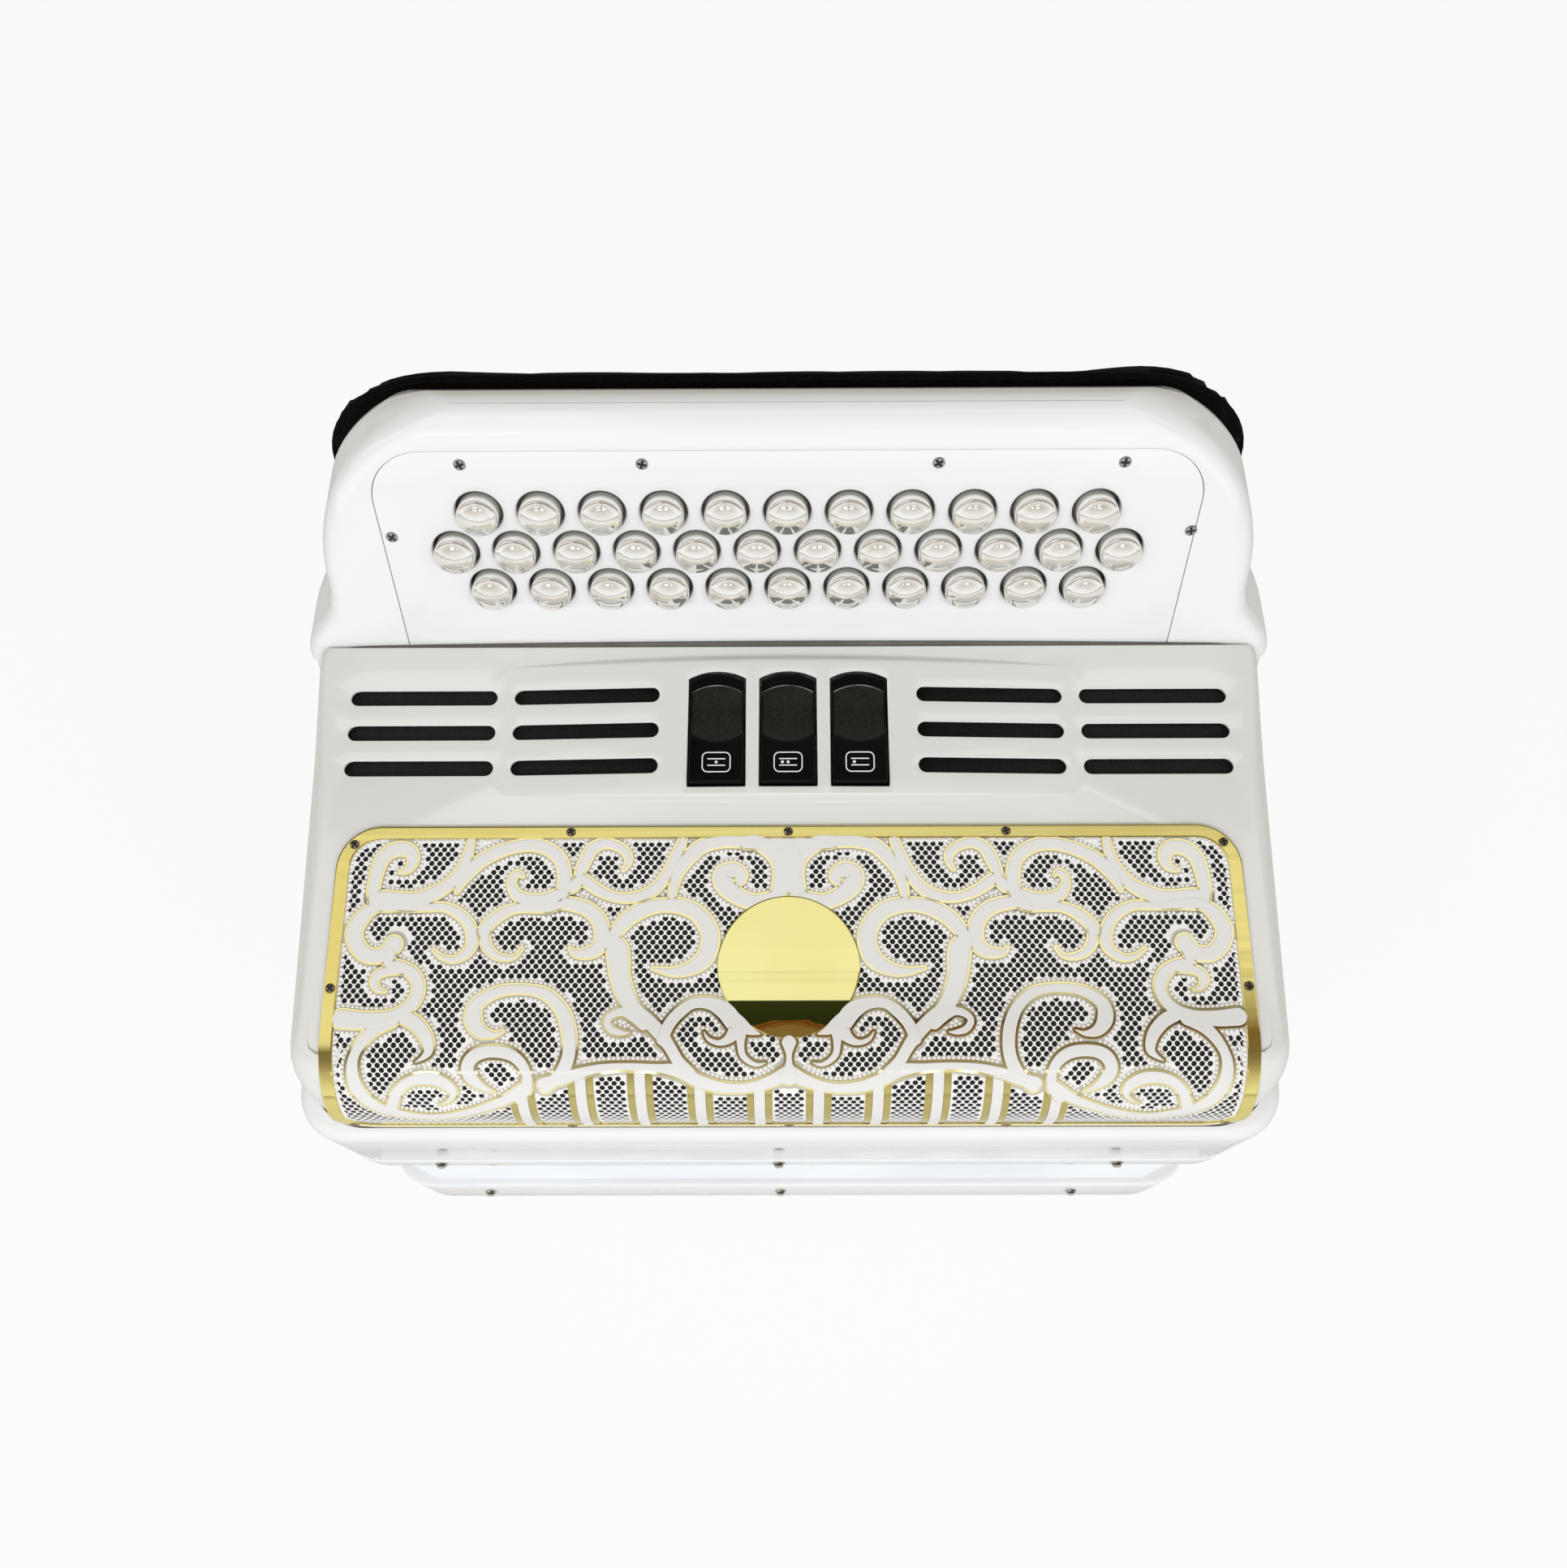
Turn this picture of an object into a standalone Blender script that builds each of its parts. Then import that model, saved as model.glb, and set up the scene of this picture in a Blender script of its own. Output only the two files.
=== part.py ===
"""A diatonic button accordion that stands on its bass feet with its bellows closed.

X runs along the button rows, -Y is the front with the grille, +Z is the way the bellows open.
The origin is on the floor, under the middle of the object. All lengths are metres.
"""

import math

import bmesh
import bpy
from mathutils import Matrix, Vector

GAP = 0.0003

# The two boxes share one outline: a rounded rectangle seen from above
BOX_HALF_WIDTH = 0.167
FRONT_Y = -0.111
BACK_Y = 0.097
BOX_CORNER = 0.018
BOX_WALL = 0.005

# Heights of the seams, from the floor up
FOOT_HEIGHT = 0.005
BASS_COVER_TOP = 0.008
BASS_FRAME_LOW = 0.058
BASS_TOP = 0.092
TREBLE_LOW = 0.157
LIP_HEIGHT = 0.209
RIM_HEIGHT = 0.2165

# Treble cover: a slope that falls to the front and turns down in an arc
COVER_HALF_WIDTH = 0.165
COVER_TOP_HALF_WIDTH = 0.1596
COVER_REAR_Y = 0.0456
COVER_REAR_Z = 0.2713
COVER_SLOPE = math.radians(7.1)
COVER_FRONT_Y = FRONT_Y + 0.0045
COVER_ARC = 0.026
COVER_WALL = 0.0025
COVER_SHOULDER = 0.007
COVER_PLAN_CORNER = 0.020
COVER_TAPER_MIDDLE = 0.996
COVER_TAPER_RATE = 0.20

# Boss on the cover round the switches: an arch along X between two straight flanks
BOSS_HALF_WIDTH = 0.095
BOSS_HEIGHT = 0.0035
BOSS_REAR = 0.0080
BOSS_REAR_FLANK = 0.0055
BOSS_FRONT = 0.0535
BOSS_FRONT_FLANK = 0.0030
BOSS_ROOT = -0.0010
BOSS_STEPS = 20

# Concave sweep of the treble case from its low rim up to the fingerboard
SWEEP_START = (-0.004, RIM_HEIGHT)
SWEEP_BEND = (0.016, RIM_HEIGHT)
SWEEP_END = (0.0430, 0.2605)

# Fingerboard: a board that leans back, measured from the middle of the first button row
ROW_ONE_Y = 0.0664
ROW_ONE_Z = 0.319
BOARD_LEAN = math.radians(21.8)
BOARD_FLAT_TOP = 0.0235
BOARD_ROLL = 0.0113
BOARD_LOW_HALF_WIDTH = 0.1554
BOARD_TOP_HALF_WIDTH = 0.1536
BOARD_CORNER_ACROSS = 0.0526
BOARD_CORNER_UP = 0.0601
BOARD_CORNER_TOP = 0.3482
BOARD_BACK_WALL = 0.004
BOARD_FOOT_Y = 0.050
RAIL_LOW = 0.256
HOLLOW_CEILING = 0.230
HIP_HEIGHT = 0.2629
HIP_TOP = 0.2812

# Treble buttons and the plate they stand in
BUTTON_PITCH = 0.0195
ROW_SPACING = 0.0145
ROW_COUNTS = (11, 12, 11)
BUTTON_RADIUS = 0.0066
BUTTON_RISE = 0.0055
BUTTON_DOME = 0.0022
BUTTON_LENGTH = 0.013
STEM_RADIUS = 0.002
STEM_LENGTH = 0.004
HOLE_RADIUS = 0.0076
PLATE_HALF_WIDTH = 0.130
PLATE_TOP = 0.0216
PLATE_BOTTOM = -0.0600
PLATE_CORNER = 0.018
PLATE_THICKNESS = 0.003
PLATE_REBATE = 0.008

# Sound slots beside the switches: distance from the rear edge, and the ends of the two in a row
SLOT_ROWS = (0.0188, 0.0313, 0.0438)
SLOT_ENDS = ((0.0432, 0.0925), (0.0984, 0.1480))
SLOT_HEIGHT = 0.0052

# Register switches: rocking tabs in the middle of the cover
SWITCH_COUNT = 3
SWITCH_PITCH = 0.02375
SWITCH_WIDTH = 0.0179
SWITCH_LENGTH = 0.0392
SWITCH_ARCH = 0.0028
SWITCH_DISTANCE = 0.0310
SWITCH_DEPTH = 0.008
SWITCH_TOP = 0.0036
SWITCH_AXLE_DEPTH = 0.0002
SWITCH_TILT = math.radians(3.0)
SWITCH_GAP = 0.0007

# Grille plate on the cover, from its rear edge down over the front arc
GRILLE_HALF_WIDTH = 0.147
GRILLE_START = 0.0642
GRILLE_LENGTH = 0.111
GRILLE_CORNER = 0.014
GRILLE_THICKNESS = 0.0012
WINDOW_COUNT = 9
WINDOW_PITCH = 0.031
WINDOW_WIDTH = 0.024
WINDOW_START = 0.074
WINDOW_END = 0.124

# Bellows: folded tube with cut corners
FOLD_COUNT = 16
FOLD_DEPTH = 0.016
BELLOWS_INSET = 0.003
BELLOWS_WALL = 0.007
BELLOWS_CORNER = 0.016

# Reed blocks under the treble soundboard
SOUNDBOARD_HALF_WIDTH = 0.150
SOUNDBOARD_FRONT = FRONT_Y + 0.012
SOUNDBOARD_REAR = 0.070
SOUNDBOARD_LOW = 0.196
SOUNDBOARD_TOP = 0.201
REED_BLOCK_YS = (-0.075, -0.035, 0.005, 0.045)
REED_BLOCK_HALF_DEPTH = 0.010
REED_BLOCK_HALF_WIDTH = 0.130
REED_BLOCK_LOW = 0.162

# Bass side: body drawn in below its frame, with a hand space at the back
BASS_INSET = 0.007
BASS_EDGE = 0.012
HAND_HALF_WIDTH = 0.118
HAND_CEILING = 0.046
HAND_FRONT_LOW_Y = 0.0150
HAND_FRONT_HIGH_Y = 0.0400
PANEL_WALL = 0.004
FOOT_RADIUS = 0.009
FOOT_TOP_RADIUS = 0.011
FOOT_X = 0.136
FOOT_FRONT_Y = -0.086
FOOT_REAR_Y = 0.066
BASS_COVER_HALF_WIDTH = 0.150
BASS_COVER_MARGIN = 0.014
BASS_COVER_CORNER = 0.016
BASS_SLOT_COUNT = 7
BASS_SLOT_PITCH = 0.034
BASS_SLOT_HALF_WIDTH = 0.0035
BASS_SLOT_HALF_LENGTH = 0.033

# Bass buttons on the slanted panel in the hand space
BASS_COLUMNS = 6
BASS_PITCH = 0.020
BASS_ROWS = (0.0125, 0.0285)
BASS_RADIUS = 0.005
BASS_HOLE_RADIUS = 0.0058
BASS_RISE = 0.006
BASS_LENGTH = 0.015
AIR_X = -0.088
AIR_RADIUS = 0.007
AIR_HOLE_RADIUS = 0.0079

# Hand strap: a bowed leather band across the hand space
STRAP_Y = 0.0800
STRAP_Z = 0.0260
STRAP_HALF_WIDTH = 0.021
STRAP_THICKNESS = 0.003
STRAP_BOW = 0.009
STRAP_TILT = math.radians(60)
STRAP_STEPS = 12

# Back pad: a low cushion on the rear of the treble side
PAD_HALF_WIDTH = 0.1535
PAD_LOW = 0.176
PAD_TOP = 0.3430
PAD_THICKNESS = 0.0137
PAD_CORNER = 0.045
PAD_BORDER = 0.012
PAD_EDGE = 0.006

ROUND_STEPS = 10
HOLE_STEPS = 12

WHITE = (0.87, 0.88, 0.89)
PEARL = (0.84, 0.83, 0.80)
BLACK = (0.010, 0.010, 0.011)
GOLD = (0.86, 0.71, 0.30)
SPRUCE = (0.62, 0.43, 0.24)
LEATHER = (0.018, 0.016, 0.015)
VELVET = (0.008, 0.008, 0.009)
NICKEL = (0.70, 0.69, 0.66)

SIDE_FRAME = Matrix(((0, 0, 1, 0), (1, 0, 0, 0), (0, 1, 0, 0), (0, 0, 0, 1)))
FRONT_FRAME = Matrix(((1, 0, 0, 0), (0, 0, -1, 0), (0, 1, 0, 0), (0, 0, 0, 1)))


def clear_scene():
    for item in list(bpy.data.objects):
        bpy.data.objects.remove(item, do_unlink=True)


def new_collection(name):
    collection = bpy.data.collections.new(name)
    bpy.context.scene.collection.children.link(collection)
    return collection


def new_material(name, color, roughness, metallic=0.0):
    material = bpy.data.materials.new(name)
    material.use_nodes = True
    shader = material.node_tree.nodes["Principled BSDF"]
    shader.inputs["Base Color"].default_value = (*color, 1.0)
    shader.inputs["Roughness"].default_value = roughness
    shader.inputs["Metallic"].default_value = metallic
    return material


def add_piece(name, mesh, color, roughness, metallic=0.0):
    """Put a mesh in the model as one visible piece with a material of its own."""
    piece = bpy.data.objects.new(name, mesh)
    bpy.data.collections["accordion"].objects.link(piece)
    piece.data.materials.clear()
    piece.data.materials.append(new_material(name, color, roughness, metallic))
    return piece


def add_cutter(name, mesh):
    """Put a mesh aside as a shape that cuts or joins a piece."""
    cutter = bpy.data.objects.new(name, mesh)
    bpy.data.collections["cutters"].objects.link(cutter)
    cutter.hide_render = True
    cutter.display_type = "WIRE"
    return cutter


def combine(piece, cutter, operation):
    modifier = piece.modifiers.new(cutter.name, "BOOLEAN")
    modifier.operation = operation
    modifier.solver = "EXACT"
    modifier.object = cutter


def arc(center, radius, start, end, steps):
    """Points on a circle from one angle to another, in degrees, both ends included."""
    points = []
    for step in range(steps + 1):
        angle = math.radians(start + (end - start) * step / steps)
        points.append((center[0] + radius * math.cos(angle), center[1] + radius * math.sin(angle)))
    return points


def oval_arc(center, across, up, start, end, steps):
    """Points on an ellipse whose axes lie along both directions, both ends included."""
    return [(center[0] + across * x, center[1] + up * y) for x, y in arc((0.0, 0.0), 1.0, start, end, steps)]


def rounded_rectangle(left, right, low, high, radius, steps=5):
    corners = (
        (right - radius, low + radius, -90),
        (right - radius, high - radius, 0),
        (left + radius, high - radius, 90),
        (left + radius, low + radius, 180),
    )
    points = []
    for x, y, start in corners:
        points += arc((x, y), radius, start, start + 90, steps)
    return points


def mirrored(half):
    """A closed outline from its right half, which runs from the bottom to the top."""
    return half + [(-x, y) for x, y in reversed(half)]


def outline_mesh(name, outlines, low, high, frame=None):
    """Flat outlines given a thickness between two heights, then moved by a frame."""
    curve = bpy.data.curves.new(name, "CURVE")
    curve.dimensions = "2D"
    curve.fill_mode = "BOTH"
    curve.extrude = (high - low) / 2
    for outline in outlines:
        spline = curve.splines.new("POLY")
        spline.points.add(len(outline) - 1)
        for point, (x, y) in zip(spline.points, outline):
            point.co = (x, y, 0.0, 1.0)
        spline.use_cyclic_u = True
    guide = bpy.data.objects.new(name, curve)
    bpy.context.scene.collection.objects.link(guide)
    bpy.context.view_layer.update()
    graph = bpy.context.evaluated_depsgraph_get()
    mesh = bpy.data.meshes.new_from_object(guide.evaluated_get(graph))
    bpy.data.objects.remove(guide, do_unlink=True)
    form = bmesh.new()
    form.from_mesh(mesh)
    bmesh.ops.remove_doubles(form, verts=form.verts, dist=0.00001)
    bmesh.ops.dissolve_limit(form, angle_limit=0.001, verts=form.verts, edges=form.edges)
    bmesh.ops.recalc_face_normals(form, faces=form.faces)
    bmesh.ops.translate(form, verts=form.verts, vec=(0, 0, (low + high) / 2))
    if frame is not None:
        bmesh.ops.transform(form, verts=form.verts, matrix=frame)
    form.to_mesh(mesh)
    form.free()
    return mesh


def side_mesh(name, outline, half_width):
    """An outline in Y and Z, as wide along X as half_width on both sides."""
    return outline_mesh(name, [outline], -half_width, half_width, SIDE_FRAME)


def turned_mesh(name, profile):
    """The half section of a turned piece, from its top on the axis to its foot on the axis."""
    mesh = bpy.data.meshes.new(name)
    edges = [(index, index + 1) for index in range(len(profile) - 1)]
    mesh.from_pydata([(x, 0.0, z) for x, z in profile], edges, [])
    return mesh


def add_screw(piece, steps):
    screw = piece.modifiers.new("turn", "SCREW")
    screw.axis = "Z"
    screw.steps = steps
    screw.render_steps = steps
    screw.use_merge_vertices = True
    screw.merge_threshold = 0.00002
    screw.use_smooth_shade = True


def circle(x, y, radius, steps=HOLE_STEPS):
    return arc((x, y), radius, 0, 360 - 360 / steps, steps - 1)


def board_point(up, out):
    """Y and Z of a point on the fingerboard, measured up from row one and out of the face."""
    sine = math.sin(BOARD_LEAN)
    cosine = math.cos(BOARD_LEAN)
    return (ROW_ONE_Y + up * sine - out * cosine, ROW_ONE_Z + up * cosine + out * sine)


def board_frame():
    """Frame with X along the rows, Y up the board and Z out of its face."""
    lean = Matrix.Rotation(math.radians(90) - BOARD_LEAN, 4, "X")
    return Matrix.Translation((0, ROW_ONE_Y, ROW_ONE_Z)) @ lean


def cover_frame(distance, depth=0.0):
    """Frame on the cover slope, its Y towards the rear, at a distance from the rear edge."""
    y = COVER_REAR_Y - distance * math.cos(COVER_SLOPE) + depth * math.sin(COVER_SLOPE)
    z = COVER_REAR_Z - distance * math.sin(COVER_SLOPE) - depth * math.cos(COVER_SLOPE)
    return Matrix.Translation((0, y, z)) @ Matrix.Rotation(COVER_SLOPE, 4, "X")


def panel_angle():
    """Angle of the slanted bass panel from the horizontal."""
    rise = HAND_CEILING - BASS_COVER_TOP
    return math.atan2(rise, HAND_FRONT_HIGH_Y - HAND_FRONT_LOW_Y)


def panel_frame():
    """Frame on the bass panel: Y up its slope, Z out of it, to the back and down."""
    turn = Matrix.Rotation(panel_angle(), 4, "X") @ Matrix.Rotation(math.pi, 4, "Y")
    return Matrix.Translation((0, HAND_FRONT_LOW_Y, BASS_COVER_TOP)) @ turn


def cover_arc_center():
    """Centre of the front arc, which stays put when the cover surface is moved inwards."""
    center_y = COVER_FRONT_Y + COVER_ARC
    normal_y = -math.sin(COVER_SLOPE)
    normal_z = math.cos(COVER_SLOPE)
    reach = normal_y * COVER_REAR_Y + normal_z * COVER_REAR_Z
    center_z = (reach - COVER_ARC - normal_y * center_y) / normal_z
    return (center_y, center_z)


def cover_path(distance, lift):
    """Y and Z at a distance down the cover from its rear edge, lifted off its surface."""
    center_y, center_z = cover_arc_center()
    tangent_y = center_y - COVER_ARC * math.sin(COVER_SLOPE)
    straight = (COVER_REAR_Y - tangent_y) / math.cos(COVER_SLOPE)
    quarter = COVER_ARC * (math.radians(90) - COVER_SLOPE)
    if distance <= straight:
        y = COVER_REAR_Y - distance * math.cos(COVER_SLOPE) - lift * math.sin(COVER_SLOPE)
        z = COVER_REAR_Z - distance * math.sin(COVER_SLOPE) + lift * math.cos(COVER_SLOPE)
        return (y, z)
    if distance <= straight + quarter:
        turn = COVER_SLOPE + (distance - straight) / COVER_ARC
        reach = COVER_ARC + lift
        return (center_y - reach * math.sin(turn), center_z + reach * math.cos(turn))
    return (COVER_FRONT_Y - lift, center_z - (distance - straight - quarter))


def sweep_points(rise, steps=6):
    """The concave sweep of the case rim, a parabola through its three guide points."""
    points = []
    for step in range(steps + 1):
        t = step / steps
        first = (1 - t) ** 2
        middle = 2 * t * (1 - t)
        last = t ** 2
        y = first * SWEEP_START[0] + middle * SWEEP_BEND[0] + last * SWEEP_END[0]
        z = first * SWEEP_START[1] + middle * SWEEP_BEND[1] + last * SWEEP_END[1]
        points.append((y, z + rise))
    return points


def case_side_outline():
    """Side view of the treble case: low rim in front, sweep, leaning board, rolled top, back."""
    center = board_point(BOARD_FLAT_TOP, -BOARD_ROLL)
    facing = 180 - math.degrees(BOARD_LEAN)
    points = [(FRONT_Y, TREBLE_LOW), (FRONT_Y, LIP_HEIGHT)]
    points += [(FRONT_Y + 0.0012, LIP_HEIGHT + 0.0042), (FRONT_Y + 0.0045, RIM_HEIGHT)]
    points += sweep_points(0.0)
    points += arc(center, BOARD_ROLL, facing, 0, 8)
    points += [(BACK_Y, TREBLE_LOW)]
    return points


def case_front_outline():
    """Front view of the treble case: straight box, hips, and the board that narrows upwards."""
    top = ROW_ONE_Z + BOARD_ROLL + BOARD_FLAT_TOP
    corner_z = BOARD_CORNER_TOP - BOARD_CORNER_UP
    corner_x = BOARD_TOP_HALF_WIDTH - BOARD_CORNER_ACROSS
    corner = oval_arc((corner_x, corner_z), BOARD_CORNER_ACROSS, BOARD_CORNER_UP, 0, 90, 10)
    narrowing = (BOARD_TOP_HALF_WIDTH - BOARD_LOW_HALF_WIDTH) / (corner_z - HIP_TOP)
    half = [(BOX_HALF_WIDTH, TREBLE_LOW - 0.005), (BOX_HALF_WIDTH, HIP_HEIGHT)]
    for step in range(1, 7):
        t = step / 6
        z = HIP_HEIGHT + (HIP_TOP - HIP_HEIGHT) * t
        board_x = BOARD_LOW_HALF_WIDTH + narrowing * (z - HIP_TOP)
        share = 3 * t ** 2 - 2 * t ** 3
        half.append((BOX_HALF_WIDTH + (board_x - BOX_HALF_WIDTH) * share, z))
    half += corner
    half.append((corner_x - 0.001, top))
    return mirrored(half)


def make_treble_case():
    side = side_mesh("treble_case", case_side_outline(), BOX_HALF_WIDTH + 0.004)
    piece = add_piece("treble_case", side, WHITE, 0.12)
    depth = (-BACK_Y - 0.010, -FRONT_Y + 0.010)
    front = outline_mesh("case_front", [case_front_outline()], depth[0], depth[1], FRONT_FRAME)
    combine(piece, add_cutter("case_front", front), "INTERSECT")
    box = rounded_rectangle(-BOX_HALF_WIDTH, BOX_HALF_WIDTH, FRONT_Y, BACK_Y + 0.012, BOX_CORNER)
    plan = outline_mesh("case_plan", [box], TREBLE_LOW - 0.004, ROW_ONE_Z + 0.060)
    combine(piece, add_cutter("case_plan", plan), "INTERSECT")
    make_case_hollows(piece)
    return piece


def make_case_hollows(piece):
    """Open the case below, under the cover, behind the button plate and at the rebate."""
    inner = rounded_rectangle(
        -BOX_HALF_WIDTH + BOX_WALL, BOX_HALF_WIDTH - BOX_WALL,
        FRONT_Y + BOX_WALL, BACK_Y - BOX_WALL, BOX_CORNER - BOX_WALL, 3,
    )
    box = outline_mesh("box_hollow", [inner], TREBLE_LOW - 0.010, HOLLOW_CEILING)
    combine(piece, add_cutter("box_hollow", box), "DIFFERENCE")
    front = FRONT_Y + 2 * BOX_WALL
    low = HOLLOW_CEILING - 0.025
    under_cover = [(front, low), (front, RAIL_LOW), (BOARD_FOOT_Y, RAIL_LOW), (BOARD_FOOT_Y, low)]
    wide = side_mesh("cover_hollow", under_cover, BOX_HALF_WIDTH - 2 * BOX_WALL)
    combine(piece, add_cutter("cover_hollow", wide), "DIFFERENCE")
    inner_top = board_point(PLATE_TOP - PLATE_REBATE, -PLATE_THICKNESS - 0.0005)
    inner_low = board_point(-0.075, -PLATE_THICKNESS - 0.0005)
    back = BACK_Y - BOARD_BACK_WALL
    foot = HOLLOW_CEILING - 0.010
    behind = [(0.0280, foot), inner_low, inner_top, (back, inner_top[1]), (back - 0.002, foot)]
    board = side_mesh("board_hollow", behind, PLATE_HALF_WIDTH - PLATE_REBATE)
    combine(piece, add_cutter("board_hollow", board), "DIFFERENCE")
    seat = plate_outline(GAP)
    rebate = outline_mesh("plate_rebate", [seat], -PLATE_THICKNESS - GAP, 0.010)
    rebate_cutter = add_cutter("plate_rebate", rebate)
    rebate_cutter.matrix_world = board_frame()
    combine(piece, rebate_cutter, "DIFFERENCE")
    opening = plate_outline(-PLATE_REBATE)
    window = outline_mesh("plate_window", [opening], -PLATE_THICKNESS - 0.006, 0.012)
    window_cutter = add_cutter("plate_window", window)
    window_cutter.matrix_world = board_frame()
    combine(piece, window_cutter, "DIFFERENCE")


def plate_outline(margin):
    """Outline of the button plate on the board, grown by a margin: round above, square below."""
    half = PLATE_HALF_WIDTH + margin
    radius = PLATE_CORNER + margin
    right = [(half, PLATE_BOTTOM - margin)]
    right += arc((half - radius, PLATE_TOP + margin - radius), radius, 0, 90, 5)
    return mirrored(right)


def button_places():
    """Column and row places of the treble buttons on the board, outer row first."""
    places = []
    for row, count in enumerate(ROW_COUNTS):
        for column in range(count):
            x = (column - (count - 1) / 2) * BUTTON_PITCH
            places.append((row + 1, column + 1, x, -row * ROW_SPACING))
    return places


def make_button_plate():
    mesh = outline_mesh("button_plate", [plate_outline(0.0)], -PLATE_THICKNESS, 0.0)
    piece = add_piece("button_plate", mesh, WHITE, 0.12)
    piece.matrix_world = board_frame()
    holes = [circle(x, up, HOLE_RADIUS) for _, _, x, up in button_places()]
    cutter = add_cutter("button_holes", outline_mesh("button_holes", holes, -0.010, 0.010))
    cutter.matrix_world = board_frame()
    combine(piece, cutter, "DIFFERENCE")


def make_treble_buttons():
    """Pearl buttons with domed tops, each on a short stem, sliding square to the plate."""
    profile = [
        (0.0, BUTTON_RISE),
        (BUTTON_RADIUS * 0.62, BUTTON_RISE - BUTTON_DOME * 0.26),
        (BUTTON_RADIUS, BUTTON_RISE - BUTTON_DOME),
        (BUTTON_RADIUS, BUTTON_RISE - BUTTON_LENGTH),
        (STEM_RADIUS, BUTTON_RISE - BUTTON_LENGTH),
        (STEM_RADIUS, BUTTON_RISE - BUTTON_LENGTH - STEM_LENGTH),
        (0.0, BUTTON_RISE - BUTTON_LENGTH - STEM_LENGTH),
    ]
    mesh = turned_mesh("treble_button", profile)
    for row, column, x, up in button_places():
        piece = add_piece(f"treble_button_{row}_{column:02d}", mesh.copy(), PEARL, 0.18)
        piece.matrix_world = board_frame() @ Matrix.Translation((x, up, 0.0))
        add_screw(piece, ROUND_STEPS)


def cover_side_outline(inset, drop):
    """Side view of the cover: sweep below, leaning rear face, slope, front arc and front wall."""
    center = cover_arc_center()
    rear_top = cover_path(0.0, -inset)
    lean = math.tan(BOARD_LEAN)
    rise = GAP - drop
    points = [(COVER_FRONT_Y + inset, RIM_HEIGHT + rise)]
    sweep = sweep_points(rise)
    rear_low_y = COVER_REAR_Y - inset - (COVER_REAR_Z - SWEEP_END[1] - rise) * lean
    points += [point for point in sweep if point[0] < rear_low_y - 0.001]
    points.append((rear_low_y, SWEEP_END[1] + rise))
    points.append((rear_top[0] - inset, rear_top[1]))
    slope = 90 + math.degrees(COVER_SLOPE)
    points += arc(center, COVER_ARC - inset, slope, 180, 6)
    return points


def cover_taper(y):
    """How much of its full width the cover has at a depth: it narrows towards the front."""
    return COVER_TAPER_MIDDLE + COVER_TAPER_RATE * y


def round_shoulders(mesh, half_width, radius):
    """Round the two long top edges of the cover, then draw its sides in towards the top."""
    form = bmesh.new()
    form.from_mesh(mesh)
    center = cover_arc_center()
    edges = []
    for edge in form.edges:
        ends = [vert.co for vert in edge.verts]
        beside = all(abs(abs(end.x) - half_width) < 0.0001 for end in ends)
        above = all(end.z > center[1] - 0.0001 for end in ends)
        along = abs(ends[0].x - ends[1].x) < 0.0001 and abs(ends[0].y - ends[1].y) > 0.0015
        rear = max(end.y for end in ends) > 0.030 and abs(ends[0].z - ends[1].z) > 0.012
        low = all(end.y > -0.020 and end.z < 0.2640 for end in ends)
        if beside and above and along and not rear and not low:
            edges.append(edge)
    bmesh.ops.bevel(
        form, geom=edges, offset=radius, segments=3, profile=0.5, affect="EDGES", clamp_overlap=False,
    )
    draw = (COVER_HALF_WIDTH - COVER_TOP_HALF_WIDTH) / COVER_HALF_WIDTH
    for vert in form.verts:
        height = (vert.co.z - RIM_HEIGHT) / (COVER_REAR_Z - RIM_HEIGHT)
        vert.co.x *= (1 - draw * max(0.0, height)) * cover_taper(vert.co.y)
    form.to_mesh(mesh)
    form.free()


def switch_outline(margin):
    """A register switch seen from above: straight sides and an arched rear end."""
    half = SWITCH_WIDTH / 2 + margin
    low = -SWITCH_LENGTH / 2 - margin
    shoulder = SWITCH_LENGTH / 2 - SWITCH_ARCH + margin
    radius = (half ** 2 + SWITCH_ARCH ** 2) / (2 * SWITCH_ARCH)
    spread = math.degrees(math.asin(half / radius))
    right = [(half, low)]
    right += arc((0.0, shoulder + SWITCH_ARCH - radius), radius, 90 - spread, 90, 3)[:-1]
    return mirrored(right)


def slot_outline(left, right, middle):
    radius = SLOT_HEIGHT / 2
    points = arc((right - radius, middle), radius, -90, 90, 4)
    return points + arc((left + radius, middle), radius, 90, 270, 4)


def cover_openings():
    """Outlines of the sound slots, on the cover slope measured back from its rear edge."""
    outlines = []
    for distance in SLOT_ROWS:
        for left, right in SLOT_ENDS:
            outlines.append(slot_outline(left, right, -distance))
            outlines.append(slot_outline(-right, -left, -distance))
    return outlines


def sound_windows():
    """Openings under the grille plate that let the sound out."""
    outlines = []
    for index in range(WINDOW_COUNT):
        x = (index - (WINDOW_COUNT - 1) / 2) * WINDOW_PITCH
        left = x - WINDOW_WIDTH / 2
        outlines.append(rounded_rectangle(left, left + WINDOW_WIDTH, -WINDOW_END, -WINDOW_START, 0.004, 1))
    return outlines


def cover_plan_outline(inset):
    """Plan of the cover: round corners in front, and past the rear edge behind."""
    half = COVER_HALF_WIDTH - inset + 0.0005
    front = COVER_FRONT_Y + inset - 0.0002
    outline = rounded_rectangle(-half, half, front, BACK_Y, COVER_PLAN_CORNER)
    return [(x * cover_taper(y), y) for x, y in outline]


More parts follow.
